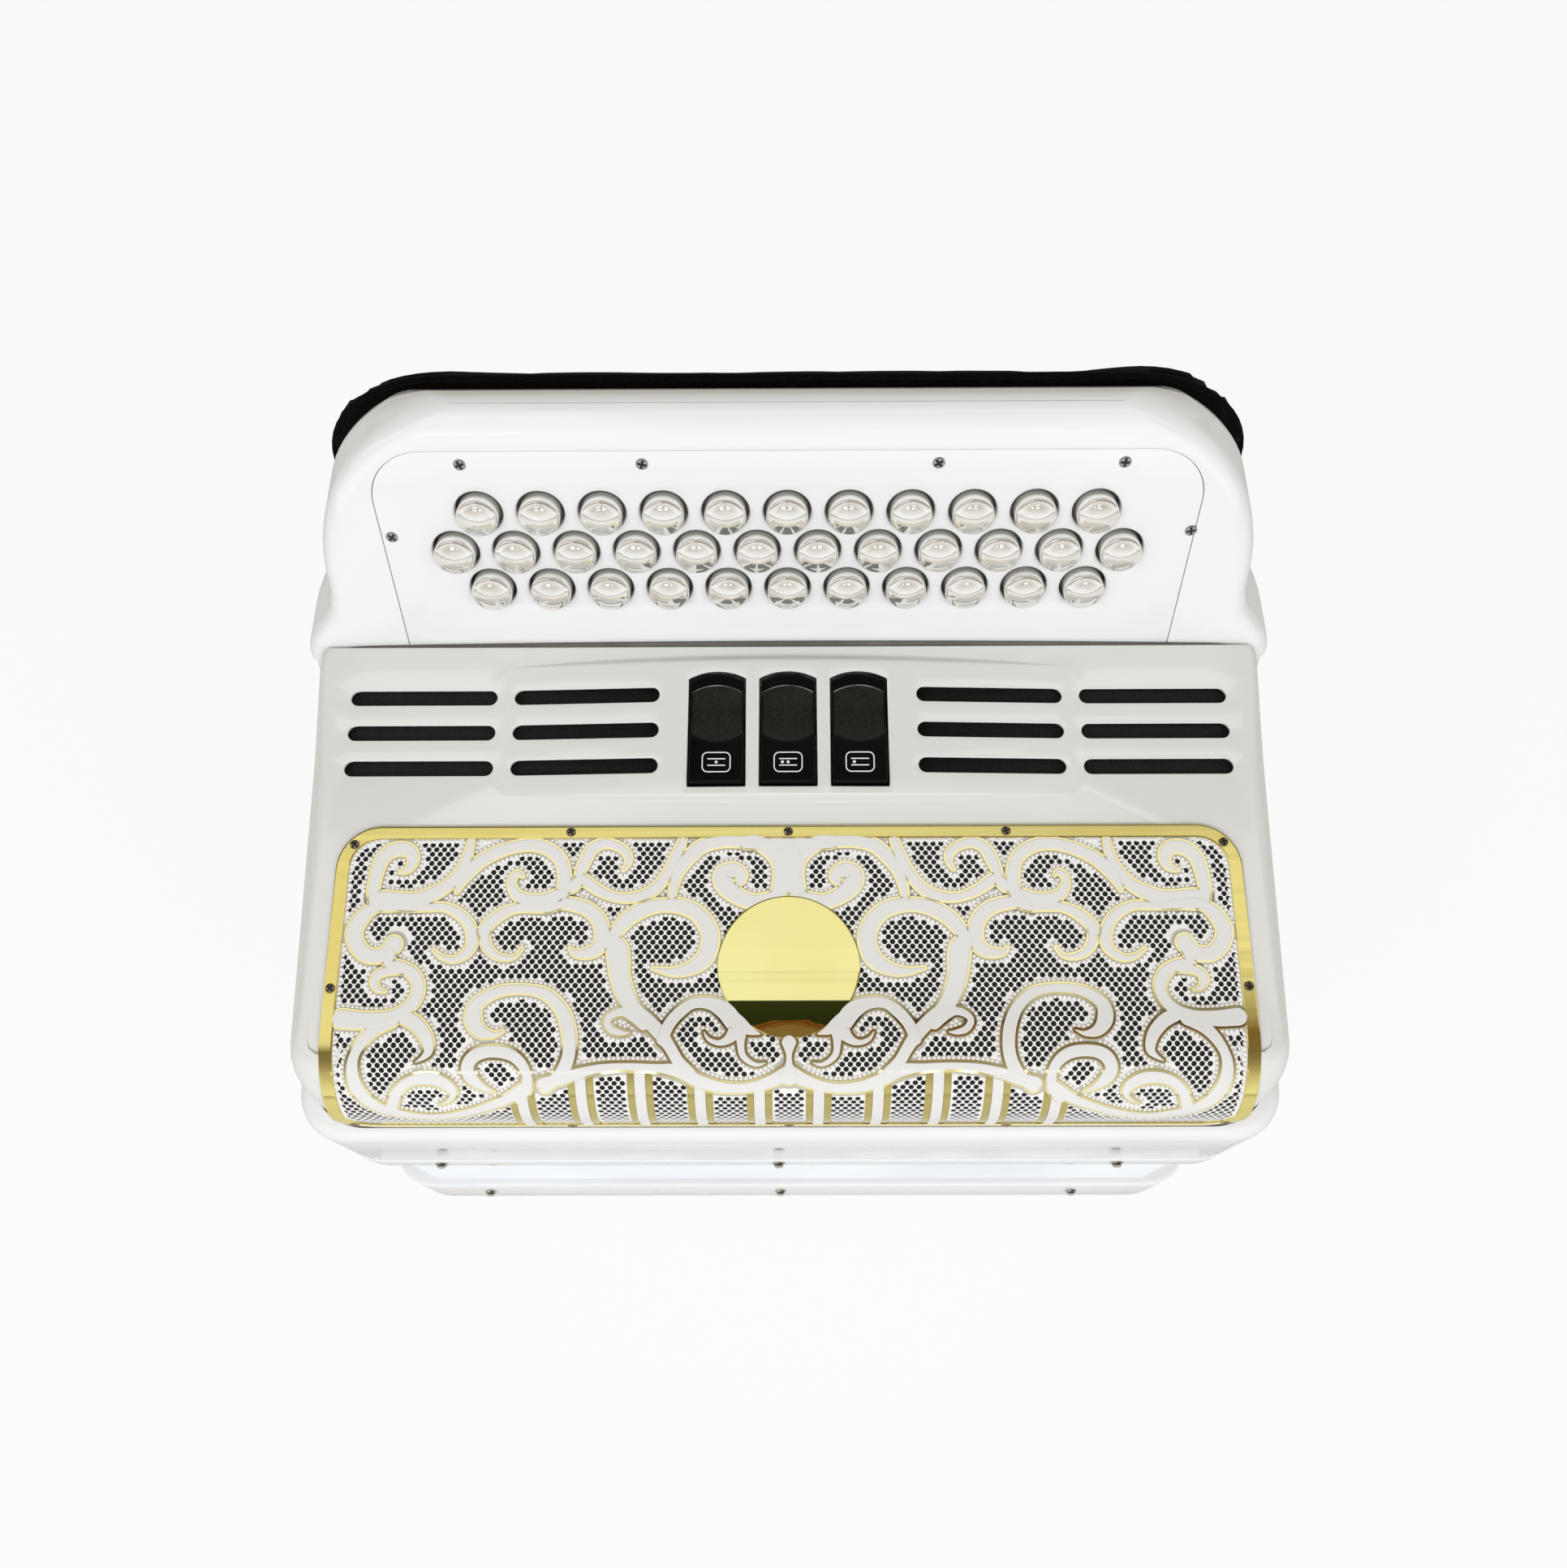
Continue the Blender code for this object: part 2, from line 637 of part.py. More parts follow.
def boss_mesh():
    """Boss in X and distance from the rear edge: low outside its flanks, arched between them."""
    form = bmesh.new()
    stations = []
    for step in range(BOSS_STEPS + 1):
        x = BOSS_HALF_WIDTH * (2 * step / BOSS_STEPS - 1)
        share = 1 - (x / BOSS_HALF_WIDTH) ** 2
        rise = BOSS_HEIGHT * share + 0.0001
        section = (
            (BOSS_REAR - BOSS_REAR_FLANK * share - 0.0005, BOSS_ROOT), (BOSS_REAR, rise),
            (BOSS_FRONT, rise), (BOSS_FRONT + BOSS_FRONT_FLANK * share + 0.0005, BOSS_ROOT),
        )
        points = [(x, *cover_path(distance, lift)) for distance, lift in section]
        stations.append([form.verts.new(point) for point in points])
    for low, high in zip(stations, stations[1:]):
        for corner in range(len(low)):
            following = (corner + 1) % len(low)
            form.faces.new((low[corner], low[following], high[following], high[corner]))
    form.faces.new(stations[0])
    form.faces.new(stations[-1])
    bmesh.ops.triangulate(form, faces=form.faces)
    bmesh.ops.recalc_face_normals(form, faces=form.faces)
    mesh = bpy.data.meshes.new("boss")
    form.to_mesh(mesh)
    form.free()
    return mesh


def make_treble_cover():
    mesh = side_mesh("treble_cover", cover_side_outline(0.0, 0.0), COVER_HALF_WIDTH)
    round_shoulders(mesh, COVER_HALF_WIDTH, COVER_SHOULDER)
    piece = add_piece("treble_cover", mesh, WHITE, 0.12)
    plan = outline_mesh("cover_plan", [cover_plan_outline(0.0)], 0.200, 0.300)
    combine(piece, add_cutter("cover_plan", plan), "INTERSECT")
    combine(piece, add_cutter("boss", boss_mesh()), "UNION")
    inner_half = COVER_HALF_WIDTH - COVER_WALL
    inner = side_mesh("cover_inside", cover_side_outline(COVER_WALL, 0.020), inner_half)
    round_shoulders(inner, inner_half, COVER_SHOULDER)
    inside = add_cutter("cover_inside", inner)
    corner = outline_mesh("cover_inside_plan", [cover_plan_outline(COVER_WALL)], 0.190, 0.300)
    combine(inside, add_cutter("cover_inside_plan", corner), "INTERSECT")
    combine(piece, inside, "DIFFERENCE")
    slots = add_cutter("sound_slots", outline_mesh("sound_slots", cover_openings(), -0.010, 0.010))
    slots.matrix_world = cover_frame(0.0)
    combine(piece, slots, "DIFFERENCE")
    windows = add_cutter("sound_windows", outline_mesh("sound_windows", sound_windows(), -0.012, 0.010))
    windows.matrix_world = cover_frame(0.0)
    combine(piece, windows, "DIFFERENCE")
    for index in range(SWITCH_COUNT):
        name = f"switch_opening_{index + 1}"
        opening = add_cutter(name, outline_mesh(name, [switch_outline(SWITCH_GAP)], -0.012, 0.010))
        x = (index - (SWITCH_COUNT - 1) / 2) * SWITCH_PITCH
        opening.matrix_world = Matrix.Translation((x, 0, 0)) @ cover_frame(SWITCH_DISTANCE)
        combine(piece, opening, "DIFFERENCE")


def make_register_switches():
    """Black rocking tabs, each turning on an axle along X inside the boss of the cover."""
    for index in range(SWITCH_COUNT):
        name = f"register_switch_{index + 1}"
        mesh = outline_mesh(name, [switch_outline(0.0)], SWITCH_TOP - SWITCH_DEPTH, SWITCH_TOP)
        piece = add_piece(name, mesh, BLACK, 0.08)
        x = (index - (SWITCH_COUNT - 1) / 2) * SWITCH_PITCH
        place = cover_frame(SWITCH_DISTANCE, SWITCH_AXLE_DEPTH)
        tilt = Matrix.Rotation(-SWITCH_TILT, 4, "X")
        piece.matrix_world = Matrix.Translation((x, 0, 0)) @ place @ tilt


def make_grille_plate():
    """Thin plate with rounded corners, bent over the slope and the front arc of the cover."""
    outline = rounded_rectangle(-GRILLE_HALF_WIDTH, GRILLE_HALF_WIDTH, 0.0, GRILLE_LENGTH, GRILLE_CORNER, 4)
    mesh = outline_mesh("grille_plate", [outline], 0.0, GRILLE_THICKNESS)
    form = bmesh.new()
    form.from_mesh(mesh)
    steps = 24
    for step in range(1, steps):
        place = Vector((0, GRILLE_LENGTH * step / steps, 0))
        geometry = form.verts[:] + form.edges[:] + form.faces[:]
        bmesh.ops.bisect_plane(form, geom=geometry, plane_co=place, plane_no=(0, 1, 0), dist=0.00001)
    for vert in form.verts:
        y, z = cover_path(GRILLE_START + vert.co.y, GAP + vert.co.z)
        vert.co = (vert.co.x, y, z)
    # The path runs against Y, which mirrors the plate
    bmesh.ops.reverse_faces(form, faces=form.faces)
    form.to_mesh(mesh)
    form.free()
    add_piece("grille_plate", mesh, GOLD, 0.18, 0.9)


def make_soundboard():
    """Spruce board across the treble case with four reed blocks hanging from it."""
    outline = rounded_rectangle(
        -SOUNDBOARD_HALF_WIDTH, SOUNDBOARD_HALF_WIDTH, SOUNDBOARD_FRONT, SOUNDBOARD_REAR, 0.006, 2,
    )
    mesh = outline_mesh("treble_reed_block", [outline], SOUNDBOARD_LOW, SOUNDBOARD_TOP)
    piece = add_piece("treble_reed_block", mesh, SPRUCE, 0.6)
    for index, y in enumerate(REED_BLOCK_YS):
        block = rounded_rectangle(
            -REED_BLOCK_HALF_WIDTH, REED_BLOCK_HALF_WIDTH,
            y - REED_BLOCK_HALF_DEPTH, y + REED_BLOCK_HALF_DEPTH, 0.003, 1,
        )
        name = f"reed_block_{index + 1}"
        shape = outline_mesh(name, [block], REED_BLOCK_LOW, SOUNDBOARD_LOW + 0.002)
        combine(piece, add_cutter(name, shape), "UNION")


def bellows_ring(inset, z):
    """One ring of the bellows: a rectangle with cut corners, drawn in by an inset."""
    half = BOX_HALF_WIDTH - BELLOWS_INSET - inset
    front = FRONT_Y + BELLOWS_INSET + inset
    back = BACK_Y - BELLOWS_INSET - inset
    cut = BELLOWS_CORNER
    return [
        (half - cut, front, z), (half, front + cut, z), (half, back - cut, z), (half - cut, back, z),
        (cut - half, back, z), (-half, back - cut, z), (-half, front + cut, z), (cut - half, front, z),
    ]


def make_bellows():
    """Zigzag tube: peaks and valleys alternate up the outside and come back down the inside."""
    low = BASS_TOP + GAP
    high = TREBLE_LOW - GAP
    count = 2 * FOLD_COUNT
    levels = [low + (high - low) * step / count for step in range(count + 1)]
    insets = [FOLD_DEPTH * (step % 2) for step in range(count + 1)]
    rings = [bellows_ring(inset, z) for inset, z in zip(insets, levels)]
    rings += [bellows_ring(inset + BELLOWS_WALL, z) for inset, z in reversed(list(zip(insets, levels)))]
    form = bmesh.new()
    loops = [[form.verts.new(point) for point in ring] for ring in rings]
    for index, loop in enumerate(loops):
        above = loops[(index + 1) % len(loops)]
        for corner in range(len(loop)):
            following = (corner + 1) % len(loop)
            form.faces.new((loop[corner], loop[following], above[following], above[corner]))
    bmesh.ops.recalc_face_normals(form, faces=form.faces)
    mesh = bpy.data.meshes.new("bellows")
    form.to_mesh(mesh)
    form.free()
    add_piece("bellows", mesh, WHITE, 0.35)


def make_bass_case():
    frame = rounded_rectangle(-BOX_HALF_WIDTH, BOX_HALF_WIDTH, FRONT_Y, BACK_Y, BOX_CORNER)
    piece = add_piece("bass_case", outline_mesh("bass_case", [frame], BASS_FRAME_LOW, BASS_TOP), WHITE, 0.12)
    body = rounded_rectangle(
        BASS_INSET - BOX_HALF_WIDTH, BOX_HALF_WIDTH - BASS_INSET,
        FRONT_Y + BASS_INSET, BACK_Y - BASS_INSET, BOX_CORNER - 0.002,
    )
    shape = outline_mesh("bass_body", [body], BASS_COVER_TOP + GAP, BASS_FRAME_LOW + 0.004)
    form = bmesh.new()
    form.from_mesh(shape)
    lowest = min(vert.co.z for vert in form.verts)
    rim = [edge for edge in form.edges if all(vert.co.z < lowest + 0.0001 for vert in edge.verts)]
    bmesh.ops.bevel(form, geom=rim, offset=BASS_EDGE, segments=3, profile=0.5, affect="EDGES")
    form.to_mesh(shape)
    form.free()
    combine(piece, add_cutter("bass_body", shape), "UNION")
    hand = [
        (HAND_FRONT_LOW_Y - panel_run(0.020), BASS_COVER_TOP - 0.020), (HAND_FRONT_HIGH_Y, HAND_CEILING),
        (BACK_Y + 0.010, HAND_CEILING), (BACK_Y + 0.010, BASS_COVER_TOP - 0.020),
    ]
    combine(piece, add_cutter("hand_space", side_mesh("hand_space", hand, HAND_HALF_WIDTH)), "DIFFERENCE")
    make_bass_hollow(piece)
    holes = [circle(-x, up, BASS_HOLE_RADIUS) for _, _, x, up in bass_places()]
    holes.append(circle(-AIR_X, air_up(), AIR_HOLE_RADIUS))
    cutter = add_cutter("bass_holes", outline_mesh("bass_holes", holes, -0.010, 0.010))
    cutter.matrix_world = panel_frame()
    combine(piece, cutter, "DIFFERENCE")


def panel_run(height):
    """How far the slanted panel runs back over a height."""
    return height / math.tan(panel_angle())


def make_bass_hollow(piece):
    """Hollow of the bass case: above the hand space, and in front of the slanted panel."""
    wall = BASS_INSET + BOX_WALL
    ceiling = HAND_CEILING + PANEL_WALL
    shift = PANEL_WALL / math.sin(panel_angle())
    front_low = (HAND_FRONT_LOW_Y - shift - panel_run(0.020), BASS_COVER_TOP - 0.020)
    outline = [
        (FRONT_Y + wall, BASS_TOP + 0.010), (FRONT_Y + wall, BASS_COVER_TOP - 0.020), front_low,
        (HAND_FRONT_HIGH_Y - shift + panel_run(PANEL_WALL), ceiling), (BACK_Y - wall, ceiling),
        (BACK_Y - wall, BASS_TOP + 0.010),
    ]
    half = BOX_HALF_WIDTH - wall - 0.016
    combine(piece, add_cutter("bass_hollow", side_mesh("bass_hollow", outline, half)), "DIFFERENCE")


def make_bass_cover():
    """Bottom plate of the bass side, cut away for the hand space, with slots and four feet."""
    front = FRONT_Y + BASS_INSET + BASS_COVER_MARGIN
    back = BACK_Y - BASS_INSET - BASS_COVER_MARGIN
    half = BASS_COVER_HALF_WIDTH - 0.004
    outline = arc((half - BASS_COVER_CORNER, front + BASS_COVER_CORNER), BASS_COVER_CORNER, -90, 0, 4)
    outline += [(half, back), (HAND_HALF_WIDTH, back), (HAND_HALF_WIDTH, HAND_FRONT_LOW_Y - 0.004)]
    mesh = outline_mesh("bass_cover", [mirrored(outline)], FOOT_HEIGHT, BASS_COVER_TOP)
    piece = add_piece("bass_cover", mesh, WHITE, 0.12)
    slots = []
    middle = (front + HAND_FRONT_LOW_Y) / 2 - 0.004
    for index in range(BASS_SLOT_COUNT):
        x = (index - (BASS_SLOT_COUNT - 1) / 2) * BASS_SLOT_PITCH
        slots.append(rounded_rectangle(
            x - BASS_SLOT_HALF_WIDTH, x + BASS_SLOT_HALF_WIDTH,
            middle - BASS_SLOT_HALF_LENGTH, middle + BASS_SLOT_HALF_LENGTH, 0.003, 2,
        ))
    cutter = add_cutter("bass_slots", outline_mesh("bass_slots", slots, -0.010, 0.020))
    combine(piece, cutter, "DIFFERENCE")
    root = FOOT_HEIGHT + 0.001
    profile = [(0.0, root), (FOOT_TOP_RADIUS, root), (FOOT_RADIUS, 0.0), (0.0, 0.0)]
    foot_mesh = turned_mesh("foot", profile)
    places = [(x, y) for x in (-FOOT_X, FOOT_X) for y in (FOOT_FRONT_Y, FOOT_REAR_Y)]
    for index, (x, y) in enumerate(places):
        foot = add_cutter(f"foot_{index + 1}", foot_mesh)
        foot.location = (x, y, 0.0)
        add_screw(foot, HOLE_STEPS)
        combine(piece, foot, "UNION")


def bass_places():
    """Places of the twelve bass buttons on the slanted panel."""
    places = []
    for row, up in enumerate(BASS_ROWS):
        for column in range(BASS_COLUMNS):
            shift = (0.5 if row else -0.5) * BASS_PITCH / 2
            x = (column - (BASS_COLUMNS - 1) / 2) * BASS_PITCH + shift + 0.012
            places.append((row + 1, column + 1, x, up))
    return places


def air_up():
    return sum(BASS_ROWS) / len(BASS_ROWS)


def make_bass_buttons():
    """Bass buttons and the wider air button, sliding square to the slanted panel."""
    def profile(radius):
        return [
            (0.0, BASS_RISE), (radius * 0.7, BASS_RISE - 0.0003), (radius, BASS_RISE - 0.0015),
            (radius, BASS_RISE - BASS_LENGTH), (0.0, BASS_RISE - BASS_LENGTH),
        ]
    mesh = turned_mesh("bass_button", profile(BASS_RADIUS))
    for row, column, x, up in bass_places():
        piece = add_piece(f"bass_button_{row}_{column}", mesh.copy(), PEARL, 0.18)
        piece.matrix_world = panel_frame() @ Matrix.Translation((-x, up, 0.0))
        add_screw(piece, ROUND_STEPS)
    air = add_piece("air_button", turned_mesh("air_button", profile(AIR_RADIUS)), NICKEL, 0.15, 1.0)
    air.matrix_world = panel_frame() @ Matrix.Translation((-AIR_X, air_up(), 0.0))
    add_screw(air, ROUND_STEPS)


def make_hand_strap():
    """Leather band between the cheeks of the hand space, bowed out in a cosine arch."""
    reach = HAND_HALF_WIDTH - GAP
    across = Vector((0, math.cos(STRAP_TILT), math.sin(STRAP_TILT))) * STRAP_HALF_WIDTH
    outward = Vector((0, math.sin(STRAP_TILT), -math.cos(STRAP_TILT)))
    form = bmesh.new()
    rows = []
    for step in range(STRAP_STEPS + 1):
        x = -reach + 2 * reach * step / STRAP_STEPS
        bow = STRAP_BOW * math.cos(math.pi * x / (2 * reach)) ** 2
        middle = Vector((x, STRAP_Y, STRAP_Z)) + outward * bow
        rows.append([form.verts.new(middle - across), form.verts.new(middle + across)])
    for first, second in zip(rows, rows[1:]):
        form.faces.new((first[0], second[0], second[1], first[1]))
    mesh = bpy.data.meshes.new("hand_strap")
    form.to_mesh(mesh)
    form.free()
    piece = add_piece("hand_strap", mesh, LEATHER, 0.5)
    solid = piece.modifiers.new("thickness", "SOLIDIFY")
    solid.thickness = STRAP_THICKNESS
    solid.offset = 0.0


def make_back_pad():
    """Low cushion with a crown: thin at its edge, full thickness inside its border."""
    outline = rounded_rectangle(-PAD_HALF_WIDTH, PAD_HALF_WIDTH, PAD_LOW, PAD_TOP, PAD_CORNER, 6)
    middle = (PAD_LOW + PAD_TOP) / 2
    base = BACK_Y + GAP
    crown = ((0.3, 0.72), (1.0, 0.93), (2.6, 1.0))
    levels = [(0.0, 0.0), (0.0, PAD_EDGE)] + [(inward, PAD_THICKNESS * share) for inward, share in crown]
    form = bmesh.new()
    loops = []
    for inward, rise in levels:
        reach_x = 1 - inward * PAD_BORDER / PAD_HALF_WIDTH
        reach_z = 1 - inward * PAD_BORDER / (PAD_TOP - middle)
        loops.append([
            form.verts.new((x * reach_x, base + rise, middle + (z - middle) * reach_z)) for x, z in outline
        ])
    for low, high in zip(loops, loops[1:]):
        for corner in range(len(low)):
            following = (corner + 1) % len(low)
            form.faces.new((low[corner], low[following], high[following], high[corner]))
    form.faces.new(loops[0])
    form.faces.new(loops[-1])
    bmesh.ops.recalc_face_normals(form, faces=form.faces)
    mesh = bpy.data.meshes.new("back_pad")
    form.to_mesh(mesh)
    form.free()
    add_piece("back_pad", mesh, VELVET, 0.9)


def main():
    clear_scene()
    new_collection("accordion")
    new_collection("cutters")
    make_bass_case()
    make_bass_cover()
    make_bass_buttons()
    make_hand_strap()
    make_bellows()
    make_treble_case()
    make_soundboard()
    make_button_plate()
    make_treble_buttons()
    make_treble_cover()
    make_register_switches()
    make_grille_plate()
    make_back_pad()


main()
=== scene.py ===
import math
import bmesh
import bpy
import numpy as np
from mathutils import Matrix, Vector
from mathutils.geometry import delaunay_2d_cdt


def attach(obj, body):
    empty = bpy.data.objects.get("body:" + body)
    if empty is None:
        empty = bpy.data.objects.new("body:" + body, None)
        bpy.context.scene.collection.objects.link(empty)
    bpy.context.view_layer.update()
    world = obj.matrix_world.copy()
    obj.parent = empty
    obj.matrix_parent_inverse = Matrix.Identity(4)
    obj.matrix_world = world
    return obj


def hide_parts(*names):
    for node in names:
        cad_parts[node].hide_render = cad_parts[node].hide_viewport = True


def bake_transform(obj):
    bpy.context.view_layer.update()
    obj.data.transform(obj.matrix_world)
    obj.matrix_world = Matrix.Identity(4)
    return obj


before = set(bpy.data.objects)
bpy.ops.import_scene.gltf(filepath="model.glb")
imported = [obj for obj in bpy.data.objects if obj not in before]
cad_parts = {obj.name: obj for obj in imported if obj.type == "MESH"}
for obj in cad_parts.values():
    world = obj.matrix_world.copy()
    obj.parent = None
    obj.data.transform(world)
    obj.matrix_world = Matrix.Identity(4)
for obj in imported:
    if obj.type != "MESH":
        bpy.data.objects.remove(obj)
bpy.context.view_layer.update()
trebleBody, bassBody = "treble_side", "bass_side"
print("frame loaded:", len(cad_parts), "nodes")

# What both boxes share, in metres, and the lean of the fingerboard and of the cover
box = {"halfWidth": 0.167, "front": -0.111, "back": 0.097, "corner": 0.018}
boardLean = math.radians(21.8)
coverSlope = math.radians(7.1)
rowOne = {"y": 0.0664, "z": 0.319}


# Shapes: every shape is (points, blocks of faces), and a block is a whole array of faces

def gridFaces(rows, columns, closeRows=False, closeColumns=False):
    # four-sided faces between neighbours on a grid of points that are numbered row by row
    first = np.arange(rows if closeRows else rows - 1)
    second = np.arange(columns if closeColumns else columns - 1)
    a, b = np.meshgrid(first, second, indexing="ij")
    nextA, nextB = (a + 1) % rows, (b + 1) % columns
    corners = (a * columns + b, a * columns + nextB, nextA * columns + nextB, nextA * columns + b)
    return np.stack(corners, -1).reshape(-1, 4)


def gridShape(points, closeRows=False, closeColumns=False):
    rows, columns = points.shape[:2]
    return points.reshape(-1, 3), [gridFaces(rows, columns, closeRows, closeColumns)]


def joined(*shapes):
    points, blocks, start = [], [], 0
    for shapePoints, shapeBlocks in shapes:
        points.append(np.asarray(shapePoints, float))
        blocks += [block + start for block in shapeBlocks]
        start += len(shapePoints)
    return np.concatenate(points), blocks


def fans(block):
    # each face as triangles from its first corner
    return np.concatenate([block[:, [0, i, i + 1]] for i in range(1, block.shape[1] - 1)])


def turnedOver(shape):
    return shape[0], [block[:, ::-1] for block in shape[1]]


def outward(shape):
    # a closed shape's volume is the sum of its corner tetrahedra; if it is negative the faces point in
    points, blocks = shape
    tri = points[np.concatenate([fans(block) for block in blocks])] - points.mean(0)
    volume = np.einsum("ij,ij->i", tri[:, 0], np.cross(tri[:, 1], tri[:, 2])).sum()
    return shape if volume > 0 else turnedOver(shape)


def capped(points):
    # a tube of loops with a flat face over its first and last loop
    rows, columns = points.shape[:2]
    flat, blocks = gridShape(points, closeColumns=True)
    around = np.arange(columns)[None]
    return outward((flat, [*blocks, around[:, ::-1], around + (rows - 1) * columns]))


def hoop(points):
    # a tube of loops whose last loop joins its first
    return outward(gridShape(np.asarray(points), closeRows=True, closeColumns=True))


def copies(points, blocks):
    # one shape many times: a row of points for each copy, and the blocks number the first one's
    count, size = points.shape[:2]
    start = np.arange(count)[:, None, None] * size
    return points.reshape(-1, 3), [(block + start).reshape(-1, block.shape[-1]) for block in blocks]


def turned(profile, steps):
    # each (radius, height) of the profile goes once round Z, and the ends close on the axis
    profile = np.array(profile, float)
    angle = np.linspace(0, 2 * np.pi, steps, endpoint=False)
    ring = profile[1:-1]
    x = ring[:, :1] * np.cos(angle)
    y = ring[:, :1] * np.sin(angle)
    z = np.repeat(ring[:, 1:], steps, axis=1)
    flat, blocks = gridShape(np.stack([x, y, z], -1), closeColumns=True)
    count = len(flat)
    flat = np.concatenate([flat, [[0, 0, profile[0, 1]], [0, 0, profile[-1, 1]]]])
    here = np.arange(steps)
    after = (here + 1) % steps
    last = (len(ring) - 1) * steps
    blocks.append(np.stack([np.full(steps, count), after, here], -1))
    blocks.append(np.stack([np.full(steps, count + 1), last + here, last + after], -1))
    return outward((flat, blocks))


def moved(shape, matrix):
    matrix = np.array(matrix, float)
    points = shape[0] @ matrix[:3, :3].T + matrix[:3, 3]
    return points, shape[1]


def arcPoints(centerX, centerY, radius, start, end, steps):
    # points on a circle between two angles in degrees
    angle = np.radians(np.linspace(start, end, steps + 1))
    return np.stack([centerX + radius * np.cos(angle), centerY + radius * np.sin(angle)], -1)


def roundedLoop(halfWidth, front, back, frontRadius, backRadius, corner=8, side=14, face=30):
    # a rounded rectangle seen from above, once round from the left end of its front;
    # a radius is a number, or (along X, along Y) for an elliptic corner
    frontRx, frontRy = np.broadcast_to(frontRadius, 2)
    backRx, backRy = np.broadcast_to(backRadius, 2)
    t = np.radians(np.linspace(0, 90, corner + 1))[1:]
    frontX = np.linspace(-halfWidth + frontRx, halfWidth - frontRx, face + 1)
    runs = [np.stack([frontX, np.full(face + 1, front)], -1)]
    runs.append(np.stack([halfWidth - frontRx + frontRx * np.sin(t), front + frontRy - frontRy * np.cos(t)], -1))
    sideY = np.linspace(front + frontRy, back - backRy, side + 1)[1:]
    runs.append(np.stack([np.full(side, halfWidth), sideY], -1))
    runs.append(np.stack([halfWidth - backRx + backRx * np.cos(t), back - backRy + backRy * np.sin(t)], -1))
    backX = np.linspace(halfWidth - backRx, -halfWidth + backRx, face + 1)[1:]
    runs.append(np.stack([backX, np.full(face, back)], -1))
    runs.append(np.stack([-halfWidth + backRx - backRx * np.sin(t), back - backRy + backRy * np.cos(t)], -1))
    runs.append(np.stack([np.full(side, -halfWidth), sideY[::-1] + (front + frontRy - back + backRy) / side], -1))
    runs.append(np.stack([-halfWidth + frontRx - frontRx * np.cos(t), front + frontRy - frontRy * np.sin(t)], -1))
    return np.concatenate(runs)[:-1]


def evenLoop(halfWidth, low, high, radius, **steps):
    # the same with one radius for all four corners
    return roundedLoop(halfWidth, low, high, radius, radius, **steps)


def boxLoop(inset, *corners, **steps):
    # the outline of the whole box, drawn in by an inset
    return roundedLoop(box["halfWidth"] - inset, box["front"] + inset, box["back"] - inset, *corners, **steps)


def quarter(steps):
    return np.radians(np.linspace(0, 90, steps + 1))


def flatSpace(x, y, z):
    return np.stack(np.broadcast_arrays(x, y, z), -1)


def atHeight(loop, z):
    return flatSpace(*loop.T, z)


def tube(loop, normal, center, radius, steps):
    # a cord along a closed or open line: across it a ring of (away from the line, height)
    turn = np.linspace(0, 2 * np.pi, steps, endpoint=False)
    flat = loop[:, None] + normal[:, None] * (center[0] + radius[0] * np.cos(turn))[None, :, None]
    return flatSpace(flat[..., 0], flat[..., 1], center[1] + radius[1] * np.sin(turn))


def insideOutline(points, outline):
    # a point is inside where a ray from it along +X crosses the outline an odd number of times
    x, y = points[:, 0][:, None], points[:, 1][:, None]
    ax, ay = outline[:, 0], outline[:, 1]
    bx, by = np.roll(ax, -1), np.roll(ay, -1)
    straddles = (ay > y) != (by > y)
    rise = np.where(by == ay, 1.0, by - ay)
    crossing = ax + (y - ay) / rise * (bx - ax)
    return (straddles & (x < crossing)).sum(1) % 2 == 1


def filled(outline, holes=(), inner=None):
    # triangles between an outline and its holes, with extra points inside where the face is to bend
    loops = [np.asarray(outline, float)] + [np.asarray(hole, float) for hole in holes]
    points = np.concatenate(loops)
    edges, start = [], 0
    for loop in loops:
        edges += [(start + i, start + (i + 1) % len(loop)) for i in range(len(loop))]
        start += len(loop)
    if inner is not None:
        points = np.concatenate([points, inner])
    made = delaunay_2d_cdt([Vector(p) for p in points.tolist()], edges, [], 0, 1e-7)
    flat = np.array([tuple(p) for p in made[0]])
    triangles = np.array([face for face in made[2]])
    middle = flat[triangles].mean(1)
    keep = insideOutline(middle, loops[0])
    for hole in loops[1:]:
        keep &= ~insideOutline(middle, hole)
    triangles = triangles[keep]
    a, b, c = (flat[triangles[:, i]] for i in range(3))
    area = (b - a)[:, 0] * (c - a)[:, 1] - (b - a)[:, 1] * (c - a)[:, 0]
    triangles[area < 0] = triangles[area < 0][:, ::-1]
    return flat, triangles


def grown(outline, margin):
    # an anticlockwise outline moved outwards along its normals
    before, after = np.roll(outline, 1, 0), np.roll(outline, -1, 0)
    normals = []
    for along in (outline - before, after - outline):
        size = np.maximum(np.linalg.norm(along, axis=1), 1e-9)[:, None]
        normals.append(np.stack([along[:, 1], -along[:, 0]], -1) / size)
    middle = normals[0] + normals[1]
    middle /= np.maximum((middle * normals[0]).sum(1), 0.3)[:, None]
    return outline + margin * middle


